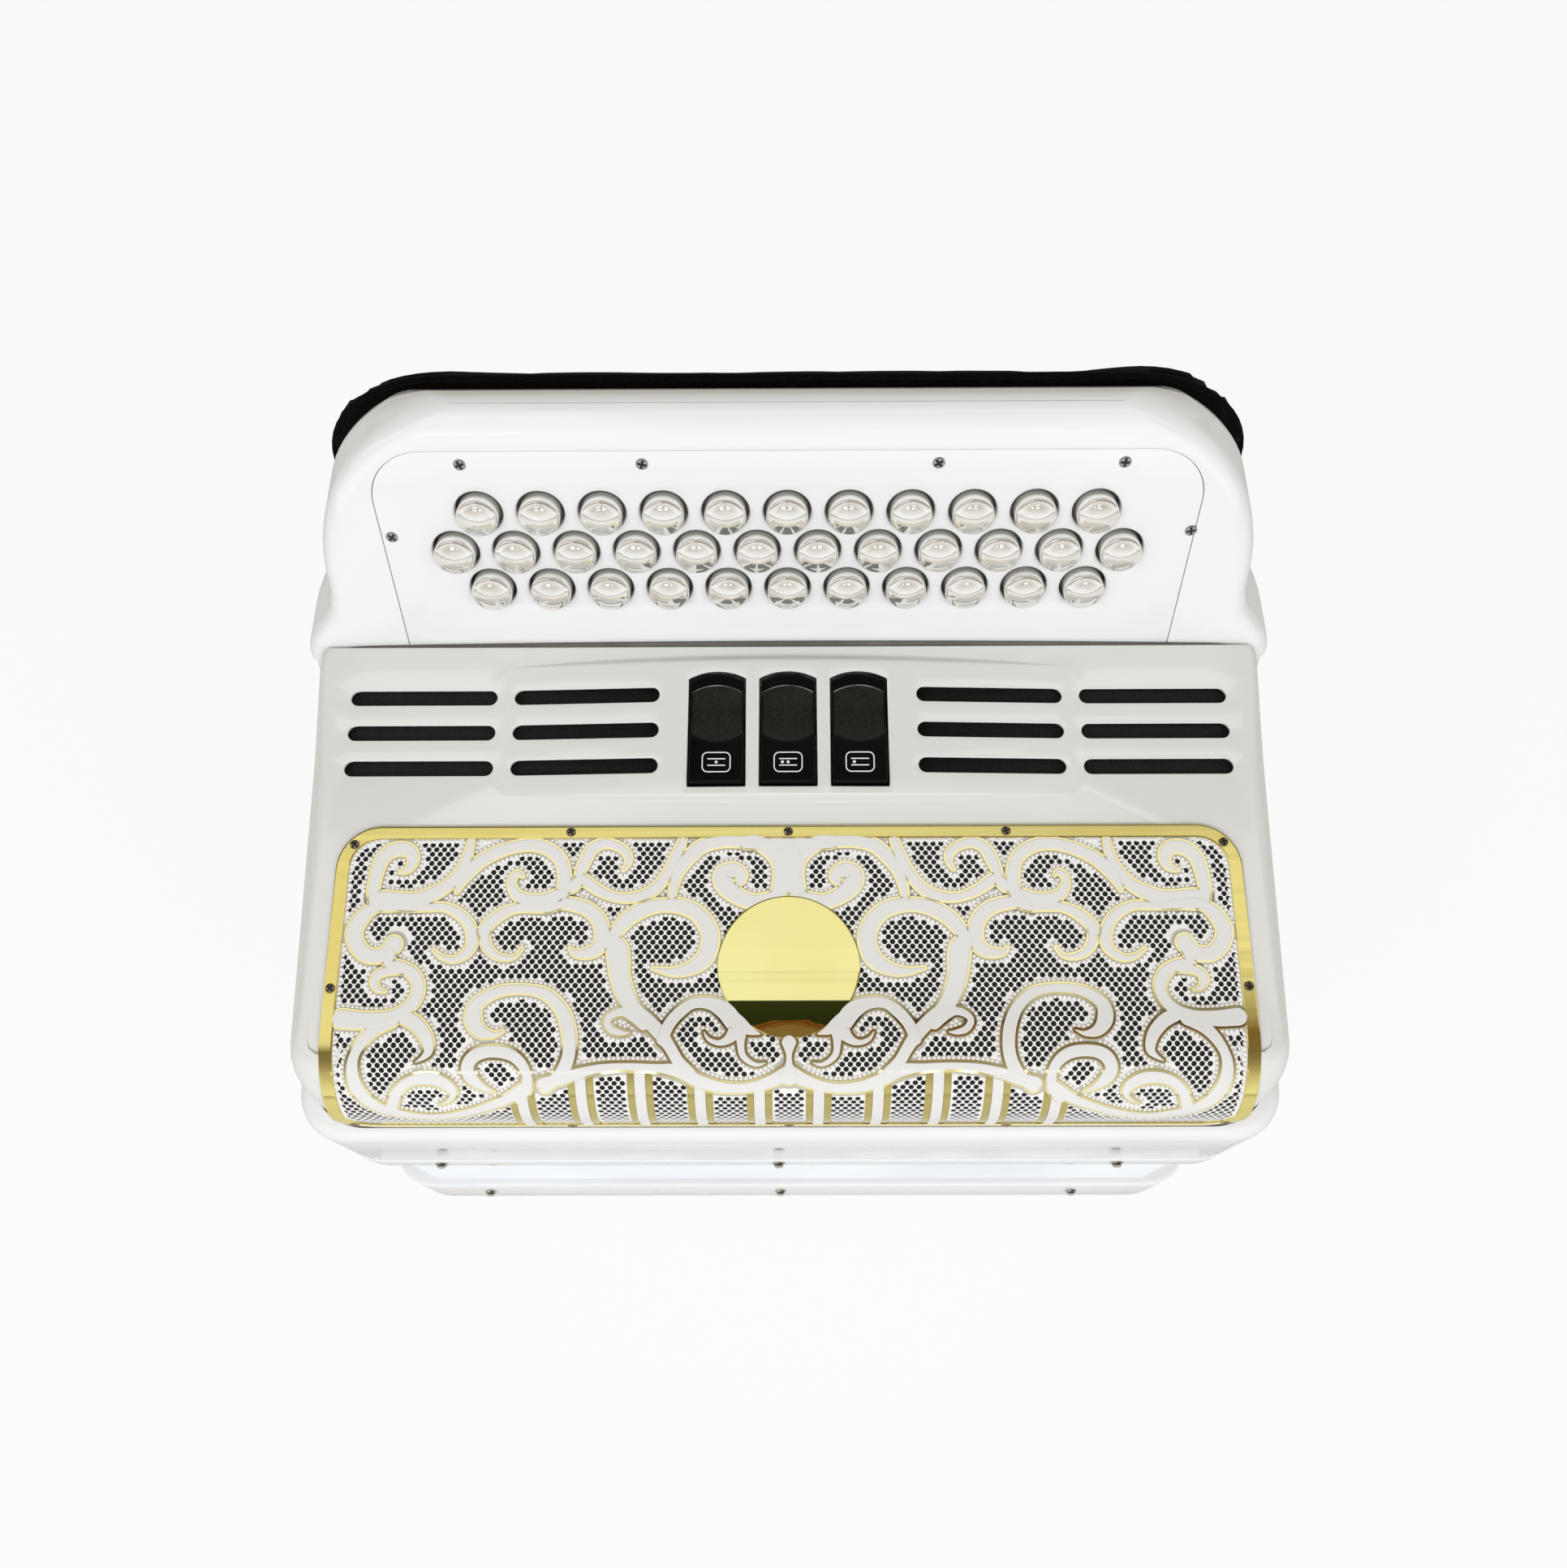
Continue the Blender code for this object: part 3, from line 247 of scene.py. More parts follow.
def platePart(outline, holes, top, bottom, edge, toSpace, holeEdge=None):
    # a flat plate whose upper edges are rounded over; toSpace takes x, y and a height to the frame
    holeEdge = edge if holeEdge is None else holeEdge
    upper, upperFaces = filled(grown(outline, -edge), [grown(hole, holeEdge) for hole in holes])
    lower, lowerFaces = filled(outline, holes)
    shapes = [(toSpace(*upper.T, top), [upperFaces]), (toSpace(*lower.T, bottom), [lowerFaces[:, ::-1]])]
    for number, loop in enumerate([outline, *holes]):
        radius, side = (holeEdge, 1) if number else (edge, -1)
        rows = [(side * radius * (1 - math.sin(t)), top - radius * (1 - math.cos(t))) for t in quarter(3)]
        rings = [toSpace(*grown(loop, margin).T, height) for margin, height in rows + [(0.0, bottom)]]
        wall = gridShape(np.stack(rings), closeColumns=True)
        shapes.append(wall if number else turnedOver(wall))
    return joined(*shapes)


# Pieces and materials

def addItem(name, data):
    item = bpy.data.objects.new(name, data)
    bpy.context.scene.collection.objects.link(item)
    return item


def newObject(name, shape):
    points, blocks = shape
    mesh = bpy.data.meshes.new(name)
    mesh.from_pydata(points.tolist(), [], [face for block in blocks for face in block.tolist()])
    return addItem(name, mesh)


def shaded(mesh, smooth):
    mesh.shade_smooth()
    mesh.set_sharp_from_angle(angle=math.radians(smooth))


def addPiece(name, shape, material, body, stands=(), smooth=35, weld=True):
    piece = newObject(name, shape)
    mesh = piece.data
    if weld:
        form = bmesh.new()
        form.from_mesh(mesh)
        bmesh.ops.remove_doubles(form, verts=form.verts, dist=0.000002)
        form.to_mesh(mesh)
        form.free()
    shaded(mesh, smooth)
    mesh.materials.append(material)
    if body:
        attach(piece, body)
    if stands:
        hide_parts(*stands)
    return piece


def finished(piece, smooth=35):
    # what the modifiers made becomes the piece's own mesh
    bpy.context.view_layer.update()
    graph = bpy.context.evaluated_depsgraph_get()
    mesh = bpy.data.meshes.new_from_object(piece.evaluated_get(graph), depsgraph=graph)
    piece.modifiers.clear()
    piece.data = mesh
    shaded(mesh, smooth)
    return piece


def cutBy(piece, shapes, smooth=35):
    # takes closed shapes out of a piece
    cutters = [newObject("cutter", shape) for shape in shapes]
    for cutter in cutters:
        cut = piece.modifiers.new("cut", "BOOLEAN")
        cut.solver = "EXACT"
        cut.object = cutter
    finished(piece, smooth)
    for cutter in cutters:
        bpy.data.objects.remove(cutter, do_unlink=True)


def thickened(piece, thickness):
    # a wall on the inner side of an open surface
    piece.modifiers.new("wall", "SOLIDIFY").thickness = thickness
    return finished(piece)


def addTexture(tree, place, kind, settings, stretch=None, turn=0.0):
    texture = tree.nodes.new(kind)
    for name, value in settings.items():
        texture.inputs[name].default_value = value
    if stretch or turn:
        mapping = tree.nodes.new("ShaderNodeMapping")
        mapping.inputs["Scale"].default_value = stretch or (1, 1, 1)
        mapping.inputs["Rotation"].default_value = (0, 0, turn)
        tree.links.new(place, mapping.inputs["Vector"])
        place = mapping.outputs["Vector"]
    tree.links.new(place, texture.inputs["Vector"])
    return texture


def gray(value):
    return (value, value, value)


def addRamp(tree, factor, stops, target):
    ramp = tree.nodes.new("ShaderNodeValToRGB")
    while len(ramp.color_ramp.elements) < len(stops):
        ramp.color_ramp.elements.new(0.5)
    for element, (position, color) in zip(ramp.color_ramp.elements, stops):
        element.position = position
        element.color = (*(color if isinstance(color, tuple) else gray(color)), 1)
    tree.links.new(factor, ramp.inputs["Fac"])
    tree.links.new(ramp.outputs["Color"], target)
    return ramp


def addBump(tree, factor, shader, strength, distance):
    bump = tree.nodes.new("ShaderNodeBump")
    bump.inputs["Strength"].default_value = strength
    bump.inputs["Distance"].default_value = distance
    tree.links.new(factor, bump.inputs["Height"])
    tree.links.new(bump.outputs["Normal"], shader.inputs["Normal"])


def paintCreviceShade(tree, shader, reach, dark):
    # painted shade: darkens the base colour where the surface lies deep between its neighbours, where shade would
    # fall
    depth = tree.nodes.new("ShaderNodeAmbientOcclusion")
    depth.samples = 6
    depth.inputs["Distance"].default_value = reach
    mix = tree.nodes.new("ShaderNodeMix")
    mix.data_type = "RGBA"
    mix.blend_type = "MULTIPLY"
    mix.inputs["Factor"].default_value = 1.0
    tree.links.new(shader.inputs["Base Color"].links[0].from_socket, mix.inputs["A"])
    addRamp(tree, depth.outputs["AO"], [(0.05, gray(dark)), (0.75, 1.0)], mix.inputs["B"])
    tree.links.new(mix.outputs["Result"], shader.inputs["Base Color"])


def surface(name, color, roughness, noises, metallic=0.0, coat=0.0, **others):
    # each noise is (its settings, its stretch, what it drives): colour and roughness through the
    # stops of a ramp, and the bump with (strength, distance)
    material = bpy.data.materials.new(name)
    material.use_nodes = True
    tree = material.node_tree
    shader = tree.nodes["Principled BSDF"]
    start = {
        "Base Color": (*color, 1), "Roughness": roughness, "Metallic": metallic,
        "Coat Weight": coat, "Coat Roughness": 0.04,
    }
    start.update({socket.replace("_", " "): value for socket, value in others.items()})
    for socket, value in start.items():
        shader.inputs[socket].default_value = value
    place = tree.nodes.new("ShaderNodeTexCoord").outputs["Object"]
    for (scale, detail), stretch, drives in noises:
        settings = {"Scale": scale, "Detail": detail}
        factor = addTexture(tree, place, "ShaderNodeTexNoise", settings, stretch).outputs["Fac"]
        for target, values in drives.items():
            if target == "bump":
                addBump(tree, factor, shader, *values)
            else:
                addRamp(tree, factor, values, shader.inputs[target])
    return material, tree, shader, place


def dimmed(color, share):
    return tuple(share * c for c in color)


def lacquer(name, color):
    # white lacquer: a faint cloudiness, slight polishing haze, and orange peel
    return surface(name, color, 0.12, [
        ((7.0, 3.0), None, {"Base Color": [(0.35, dimmed(color, 0.965)), (0.65, color)]}),
        ((38.0, 3.0), None, {"Roughness": [(0.4, 0.07), (0.75, 0.15)]}),
        ((420.0, 1.0), None, {"bump": (0.05, 0.0002)}),
    ], coat=0.6)[0]


def pearl():
    # nacre: pale cloudy streaks with warm grey between them, half mirroring, under a clear coat
    stops = [
        (0.34, (0.88, 0.86, 0.81)), (0.46, (0.96, 0.94, 0.90)),
        (0.55, (0.99, 0.98, 0.96)), (0.68, (0.92, 0.90, 0.86)),
    ]
    streaks = {"Base Color": stops, "Roughness": [(0.4, 0.05), (0.7, 0.10)], "bump": (0.03, 0.0002)}
    noises = [((190.0, 4.0), (0.45, 1.2, 1.2), streaks)]
    return surface("buttonPearl", (0.88, 0.87, 0.84), 0.16, noises, metallic=0.80, coat=0.6)[0]


def gilt(name, color, roughness):
    # gilt plate: fine brushing along X and soft stains
    deep = (color[0] * 0.94, color[1] * 0.91, color[2] * 0.78)
    brush = {"Roughness": [(0.35, roughness * 0.7), (0.7, roughness * 1.5)], "bump": (roughness * 0.12, 0.0001)}
    return surface(name, color, roughness, [
        ((22.0, 3.0), None, {"Base Color": [(0.3, deep), (0.6, color)]}),
        ((60.0, 6.0), (0.08, 6.0, 6.0), brush),
    ], metallic=1.0)[0]


def blackGloss():
    return surface("switchGloss", gray(0.003), 0.08, [
        ((40.0, 3.0), None, {"Base Color": [(0.4, 0.002), (0.7, 0.004)]}),
        ((90.0, 3.0), None, {"Roughness": [(0.45, 0.05), (0.8, 0.16)]}),
    ], Specular_IOR_Level=0.2)[0]


def grained(name, color, roughness, noise, low, high, bump=None, stretch=None, **others):
    # one noise between two colours, which may also give the bump
    drives = {"Base Color": [low, high]}
    if bump:
        drives["bump"] = bump
    return surface(name, color, roughness, [(noise, stretch, drives)], **others)[0]


def chrome(name, color, roughness, reach):
    worn = {
        "Roughness": [(0.35, roughness * 0.8), (0.75, roughness * 1.8)],
        "Base Color": [(0.3, dimmed(color, 0.9)), (0.6, color)],
    }
    material, tree, shader, _ = surface(name, color, roughness, [((150.0, 3.0), None, worn)], metallic=1.0)
    # painted shade in the crevices of the pins and screws
    paintCreviceShade(tree, shader, reach, 0.03)
    return material


def meshCloth():
    # fine woven cloth: two sets of threads give its bump, and its faint glints, painted as a lighter base colour
    # along the threads
    material, tree, shader, place = surface("soundCloth", gray(0.006), 0.6, [])
    threads = tree.nodes.new("ShaderNodeMath")
    threads.operation = "MAXIMUM"
    for socket, turn in zip(threads.inputs, (0.0, math.pi / 2)):
        wave = addTexture(tree, place, "ShaderNodeTexWave", {"Scale": 380.0}, turn=turn)
        tree.links.new(wave.outputs["Fac"], socket)
    stops = [(0.55, gray(0.001)), (0.95, (0.020, 0.019, 0.018))]
    addRamp(tree, threads.outputs["Value"], stops, shader.inputs["Base Color"])
    addBump(tree, threads.outputs["Value"], shader, 0.6, 0.0003)
    return material


def leather(name, color):
    material, tree, shader, place = surface(name, color, 0.45, [
        ((30.0, 3.0), None, {"Base Color": [(0.35, dimmed(color, 0.6)), (0.7, color)]}),
        ((200.0, 3.0), None, {"Roughness": [(0.4, 0.38), (0.7, 0.6)]}),
    ])
    cells = addTexture(tree, place, "ShaderNodeTexVoronoi", {"Scale": 620.0})
    addBump(tree, cells.outputs["Distance"], shader, 0.35, 0.0003)
    return material


def bellowsPaper():
    # white leatherette over card: fine grain, slightly blue
    return surface("bellowsCloth", (0.80, 0.83, 0.87), 0.35, [
        ((14.0, 3.0), None, {"Base Color": [(0.3, (0.76, 0.79, 0.83)), (0.7, (0.84, 0.87, 0.90))]}),
        ((700.0, 2.0), None, {"bump": (0.2, 0.0002)}),
    ])[0]


shellWhite = lacquer("shellWhite", (0.86, 0.87, 0.88))
# the cover's lacquer is greyer than the case's: partly its own tone, partly painted shade for its upward-facing top,
# which the front lamps reach less
coverWhite = lacquer("coverWhite", (0.76, 0.765, 0.75))
signWhite = lacquer("signWhite", (0.85, 0.85, 0.85))
grilleWhite = lacquer("grilleWhite", (0.78, 0.775, 0.76))
beadWhite = lacquer("beadWhite", (0.93, 0.92, 0.90))
sheetWhite = lacquer("sheetWhite", (0.86, 0.855, 0.84))
# painted shade between the beads, on the band beneath them
beadShadeGrey = lacquer("beadShadeGrey", (0.52, 0.50, 0.44))
pearlWhite = pearl()
goldPlate = gilt("grilleGold", (0.92, 0.81, 0.30), 0.11)
goldBar = gilt("barGold", (0.66, 0.58, 0.23), 0.13)
# the edging's gilt is paler than the plate's: a painted highlight for the bright light its raised edges catch
goldEdge = gilt("edgeGold", (0.99, 0.91, 0.52), 0.06)
goldDisc = gilt("discGold", (0.95, 0.89, 0.40), 0.007)
pinChrome = chrome("pinChrome", (0.60, 0.59, 0.56), 0.08, 0.0012)
screwBlack = chrome("screwBlack", (0.52, 0.52, 0.52), 0.25, 0.0006)
screwNickel = chrome("screwNickel", (0.42, 0.36, 0.25), 0.2, 0.0005)
strapLeather = leather("strapLeather", (0.018, 0.016, 0.015))
threadGrey = leather("threadGrey", (0.10, 0.10, 0.10))
# painted shade for the gap between the board and the cover's rear edge
paintedGapShade = leather("paintedGapShade", (0.14, 0.128, 0.112))
# black for painted shade: the cord in the cover's groove and the floors of the screws' crosses
paintedShadeBlack = leather("paintedShadeBlack", (0.02, 0.02, 0.02))
clothBlack = meshCloth()
bellowsWhite = bellowsPaper()
glossBlack = blackGloss()
# the thumb hollow of a switch, and a painted highlight: a lighter grey line on the edge between it and the switch's
# rear end
mattBlack = grained(
    "switchHollow", (0.018, 0.017, 0.014), 0.40, (900.0, 2.0), (0.35, (0.008, 0.0075, 0.006)),
    (0.7, (0.017, 0.016, 0.013)), (0.15, 0.0001), Specular_IOR_Level=0.25)
edgeHighlightGrey = grained(
    "switchEdgeHighlight", (0.12, 0.12, 0.115), 0.18, (160.0, 3.0), (0.40, (0.05, 0.05, 0.05)), (0.60, (0.22, 0.22, 0.21)))
# the pad's velvet has the finest grain, its pile
padVelvet = grained(
    "padCloth", gray(0.003), 0.95, (1400.0, 2.0), (0.3, 0.001), (0.7, 0.004), (0.4, 0.0004),
    Specular_IOR_Level=0.1, Sheen_Weight=0.03, Sheen_Roughness=0.4)
reedWood = grained(
    "reedSpruce", (0.62, 0.43, 0.24), 0.6, (90.0, 6.0), (0.35, (0.46, 0.29, 0.14)),
    (0.65, (0.70, 0.50, 0.29)), (0.2, 0.0005), stretch=(0.05, 1.0, 1.0))
footRubber = grained(
    "footRubber", gray(0.02), 0.7, (500.0, 3.0), (0.3, 0.014), (0.7, 0.03), (0.2, 0.0002))
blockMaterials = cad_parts["treble_reed_block"].data.materials
blockMaterials.clear()
blockMaterials.append(reedWood)
print("materials ready")


# Places on the object

def boardMatrix():
    # X along the rows, Y up the board, Z out of its face, from the middle of row one
    lean = Matrix.Rotation(math.radians(90) - boardLean, 4, "X")
    return Matrix.Translation((0, rowOne["y"], rowOne["z"])) @ lean


def onBoard(x, up, out):
    return moved((flatSpace(x, up, out), []), boardMatrix())[0]


cover = {
    "rearY": 0.0456, "rearZ": 0.2713, "frontY": -0.1065, "arc": 0.026, "halfWidth": 0.165,
    "topHalfWidth": 0.1596, "rimZ": 0.2168, "footZ": 0.2150, "wall": 0.0025, "sideRoll": 0.007,
    "rearRoll": 0.0008, "rearCorner": 0.0030, "planCorner": 0.020, "taper": (0.996, 0.20),
}
boss = {
    "halfWidth": 0.095, "height": 0.0035, "rear": 0.0080, "rearFlank": 0.0055,
    "front": 0.0535, "frontFlank": 0.0030,
}


def coverPath(distance, lift):
    # y and z at a distance down the cover from its rear edge: a slope, then the front arc, then a wall
    centerY = cover["frontY"] + cover["arc"]
    tangentY = centerY - cover["arc"] * math.sin(coverSlope)
    straight = (cover["rearY"] - tangentY) / math.cos(coverSlope)
    tangentZ = cover["rearZ"] - straight * math.sin(coverSlope)
    centerZ = tangentZ - cover["arc"] * math.cos(coverSlope)
    bend = cover["arc"] * (math.radians(90) - coverSlope)
    distance, lift = np.broadcast_arrays(np.asarray(distance, float), np.asarray(lift, float))
    slopeY = cover["rearY"] - distance * math.cos(coverSlope) - lift * math.sin(coverSlope)
    slopeZ = cover["rearZ"] - distance * math.sin(coverSlope) + lift * math.cos(coverSlope)
    turn = coverSlope + np.clip(distance - straight, 0, bend) / cover["arc"]
    arcY = centerY - (cover["arc"] + lift) * np.sin(turn)
    arcZ = centerZ + (cover["arc"] + lift) * np.cos(turn) - np.maximum(distance - straight - bend, 0)
    sloped = distance <= straight
    return np.where(sloped, slopeY, arcY), np.where(sloped, slopeZ, arcZ)


def smoothStep(t):
    t = np.clip(t, 0, 1)
    return t * t * (3 - 2 * t)


def bossRise(x, distance):
    # an arch along X, with a flank at its rear and its front that run out with it
    share = np.clip(1 - (x / boss["halfWidth"]) ** 2, 0, 1)
    rear = (distance - boss["rear"]) / np.maximum(boss["rearFlank"] * share, 1e-5) + 1
    front = (boss["front"] - distance) / np.maximum(boss["frontFlank"] * share, 1e-5) + 1
    return boss["height"] * share * smoothStep(rear) * smoothStep(front)


def onCover(x, distance, lift):
    y, z = coverPath(distance, lift + bossRise(x, distance))
    return np.stack([np.broadcast_to(x, y.shape), y, z], -1)


def sweepLine():
    # the concave sweep of the case below the cover's rear, a parabola through three guide points
    t = np.linspace(0, 1, 9)
    first, middle, last = (1 - t) ** 2, 2 * t * (1 - t), t ** 2
    y = first * -0.004 + middle * 0.016 + last * 0.0430
    z = first * 0.2165 + middle * 0.2165 + last * 0.2605
    return y, z


# Treble case: a stack of level outlines, from its lower rim up over the lip, the sweep and the board

shell = {
    "low": 0.1683, "lip": 0.209, "rim": 0.2165, "hip": 0.2629, "hipTop": 0.2812,
    "boardLow": 0.1554, "boardTop": 0.1536, "boardFlatTop": 0.0235, "roll": 0.0113, "edge": 0.0065,
    "cornerAcross": 0.0526, "cornerUp": 0.0601, "wall": 0.006, "backCorner": 0.010, "hipBack": (0.020, 0.061),
    "ceiling": 0.204, "groove": 0.0006, "grooveDepth": 0.0024,
}


def hipRounding(z, fade):
    # the hips draw in to the back: their back corners grow with height, and fade out above the hips
    share = smoothStep((z - 0.225) / 0.030) * fade
    return [shell["backCorner"] + (most - shell["backCorner"]) * share for most in shell["hipBack"]]


def shellLevels():
    # each level is (height, front y, back y, half width, front corner, back corner, lip inset, dip);
    # the dip is the groove between the lip and the cover
    levels = []
    h, f, b = box["halfWidth"], box["front"], box["back"]
    low, c, back = shell["low"], box["corner"], shell["backCorner"]
    for inset, rise in ((0.0008, 0.0), (0.00025, 0.0003), (0.0, 0.0009)):
        levels.append((low + rise, f + inset, b - inset, h - inset, c, back, 0.0, 0.0))
    levels.append((shell["lip"] - 0.004, f, b, h, c, back, 0.0, 0.0))
    lipRise, lipRun = shell["rim"] - shell["lip"], cover["frontY"] - f - shell["groove"]
    for t in quarter(8):
        inset = lipRun * (1 - math.cos(t))
        levels.append((shell["lip"] + lipRise * math.sin(t), f + inset, b, h, c + inset * 0.4, back, inset, 0.0))
    for dip in (0.0003, shell["grooveDepth"]):
        levels.append((shell["rim"], f + lipRun + 0.0001, b, h, c + 0.0016, back, lipRun + 0.0001, dip))
    levels.append((shell["rim"], f + 0.040, b, h, c, back, lipRun, shell["grooveDepth"]))
    sweepY, sweepZ = sweepLine()
    for y, z in zip(sweepY, sweepZ):
        inset = lipRun * (1 - smoothStep((z - shell["rim"]) / 0.020))
        across, along = hipRounding(z, 1)
        levels.append((z + 0.0004, y, b, h, 0.012, (across, min(along, (b - y) * 0.6)), inset, 0.0))
    start = rowOne["y"] + shell["boardFlatTop"] * math.sin(boardLean)
    centerY = start + shell["roll"] * math.cos(boardLean)
    centerZ = rowOne["z"] + shell["boardFlatTop"] * math.cos(boardLean) - shell["roll"] * math.sin(boardLean)
    rollStart = centerZ + shell["roll"] * math.sin(boardLean)
    top = centerZ + shell["roll"]
    # the board's sides are nearly straight up to its corners, which are parts of an ellipse
    cornerX, cornerZ = shell["boardTop"] - shell["cornerAcross"], top - shell["cornerUp"]
    narrowing = (shell["boardTop"] - shell["boardLow"]) / (cornerZ - shell["hipTop"])
    heights = list(np.linspace(shell["hip"], shell["hipTop"], 14)) + list(np.linspace(cornerZ, rollStart, 16))
    turns = np.radians(np.linspace(90 - math.degrees(boardLean), 3, 9))[1:]
    heights += list(centerZ + shell["roll"] * np.cos(turns))
    for z in heights:
        boardX = shell["boardLow"] + narrowing * (z - shell["hipTop"])
        aboveHips = smoothStep((z - shell["hip"]) / (shell["hipTop"] - shell["hip"]))
        half = h + (boardX - h) * aboveHips
        if z > cornerZ:
            half = cornerX + shell["cornerAcross"] * math.sqrt(1 - ((z - cornerZ) / shell["cornerUp"]) ** 2)
        if z <= rollStart:
            front, rear = rowOne["y"] + (z - rowOne["z"]) * math.tan(boardLean), b
        else:
            reach = math.sqrt(shell["roll"] ** 2 - (z - centerZ) ** 2)
            front, rear = centerY - reach, centerY + reach
        if z <= centerZ:
            rear = b
        deep = rear - front
        edge = min(shell["edge"], deep * 0.49)
        across, along = hipRounding(z, 1 - aboveHips)
        levels.append((z, front, rear, half, edge, (min(across, deep * 0.49), min(along, deep * 0.6)), 0.0, 0.0))
    return levels


def trebleShell():
    loops = []
    lipRun = cover["frontY"] - box["front"] - shell["groove"]
    for z, front, back, half, frontCorner, backCorner, inset, dip in shellLevels():
        loop = roundedLoop(half, front, back, frontCorner, backCorner, corner=9, side=16, face=36)
        # the lip turns in all round the front, and no longer where the hips rise behind
        share = 1 - smoothStep((loop[:, 1] + 0.010) / 0.040)
        sign = np.sign(loop[:, 0]) * smoothStep(np.abs(loop[:, 0]) / 0.12)
        coverHalf = cover["halfWidth"] * (cover["taper"][0] + cover["taper"][1] * loop[:, 1])
        sideRun = box["halfWidth"] - coverHalf - shell["groove"]
        loop[:, 0] -= sign * inset * share * sideRun / lipRun
        loops.append(np.column_stack([loop, z - dip * share]))
    inner = boxLoop(shell["wall"], 0.012, 0.006, corner=9, side=16, face=36)
    inside = [atHeight(inner, z) for z in (shell["ceiling"], shell["low"])]
    shape = capped(np.concatenate([inside, np.array(loops)]))
    piece = addPiece("trebleShell", shape, shellWhite, trebleBody, ("treble_case",))
    cutBy(piece, [boardPocket()])


plate = {
    "halfWidth": 0.130, "top": 0.0216, "bottom": -0.0600, "corner": 0.018, "thick": 0.003, "seam": 0.00022,
    "rim": 0.0076, "pitch": 0.0195, "row": 0.0145, "counts": (11, 12, 11), "lip": 0.0007,
}


def plateOutline(margin):
    half, radius = plate["halfWidth"] + margin, plate["corner"] + margin
    top = plate["top"] + margin
    right = arcPoints(half - radius, top - radius, radius, 0, 90, 14)
    left = arcPoints(-half + radius, top - radius, radius, 90, 180, 14)
    low = plate["bottom"] - margin
    return np.concatenate([[[-half, low], [half, low]], right, left])


def boardPocket():
    # a stepped hollow: the seat of the plate, then the space behind it
    seat = -plate["thick"] - 0.0004
    rows = ((0.006, plate["seam"]), (seat, plate["seam"]), (seat, -0.006), (-0.019, -0.006))
    return capped(np.array([onBoard(*plateOutline(margin).T, out) for out, margin in rows]))


def buttonPlaces():
    places = []
    for row, count in enumerate(plate["counts"]):
        for column in range(count):
            places.append((row + 1, column + 1, (column - (count - 1) / 2) * plate["pitch"], -row * plate["row"]))
    return places


def circlePoints(x, y, radius, steps):
    return arcPoints(x, y, radius, 0, 360 - 360 / steps, steps - 1)


def buttonBoard():
    holes = [circlePoints(x, up, plate["rim"], 40) for _, _, x, up in buttonPlaces()]
    shape = platePart(plateOutline(0.0), holes, 0.0, -plate["thick"], 0.0003, onBoard, plate["lip"])
    addPiece("buttonBoard", shape, shellWhite, trebleBody, ("button_plate",))


button = {"radius": 0.0066, "rise": 0.0055, "crown": 0.0014, "edge": 0.0013, "length": 0.013, "stem": 0.002}


def buttonProfile(radius, rise, crown, edge, length, stem):
    # a shallow crown, a rounded shoulder, a straight wall, then a stem below
    r = np.linspace(0, 1, 7) * (radius - edge)
    points = list(zip(r, rise - crown * (r / (radius - edge)) ** 2))
    for t in quarter(6)[1:]:
        points.append((radius - edge + edge * math.sin(t), rise - crown - edge * (1 - math.cos(t))))
    low = rise - length
    points += [(radius, low + 0.0006), (radius - 0.0006, low), (stem, low), (stem, low - 0.004), (0.0, low - 0.004)]
    return points


def trebleButtons():
    shape = turned(buttonProfile(**button), 40)
    for row, column, x, up in buttonPlaces():
        node = f"treble_button_{row}_{column:02d}"
        here = moved(shape, boardMatrix() @ Matrix.Translation((x, up, 0)))
        addPiece(f"trebleButton{row}x{column:02d}", here, pearlWhite, node, (node,))


# Treble cover: rings roll over from its walls on to a top that is filled round the slots and switches

slots = {
    "rows": (0.0188, 0.0313, 0.0438), "ends": ((0.0432, 0.0925), (0.0984, 0.1480)), "height": 0.0052, "lip": 0.0004,
}
switch = {
    "pitch": 0.02375, "width": 0.0179, "length": 0.0392, "arch": 0.0028, "distance": 0.0310,
    "axle": 0.0002, "tilt": math.radians(3.0), "gap": 0.0007, "top": 0.0036, "depth": 0.008,
}


def slotOutline(left, right, distance):
    radius = slots["height"] / 2
    first = arcPoints(right - radius, distance, radius, -90, 90, 12)
    return np.concatenate([first, arcPoints(left + radius, distance, radius, 90, 270, 12)])


def slotOutlines():
    ends = [pair for left, right in slots["ends"] for pair in ((left, right), (-right, -left))]
    return [slotOutline(left, right, distance) for distance in slots["rows"] for left, right in ends]


def switchOutline(margin, steps=14):
    # a switch seen from above, X and distance towards its front: an arched rear end, small front corners
    half, low = switch["width"] / 2 + margin, switch["length"] / 2 + margin
    shoulder = -switch["length"] / 2 + switch["arch"] - margin
    radius = (half ** 2 + switch["arch"] ** 2) / (2 * switch["arch"])
    spread = math.degrees(math.asin(half / radius))
    rear = arcPoints(0, shoulder - switch["arch"] + radius, radius, 270 - spread, 270 + spread, steps)
    corner = 0.0008
    right = arcPoints(half - corner, low - corner, corner, 0, 90, 4)
    left = arcPoints(-half + corner, low - corner, corner, 90, 180, 4)
    return np.concatenate([rear, right, left])


def switchX(index):
    return (index - 1) * switch["pitch"]


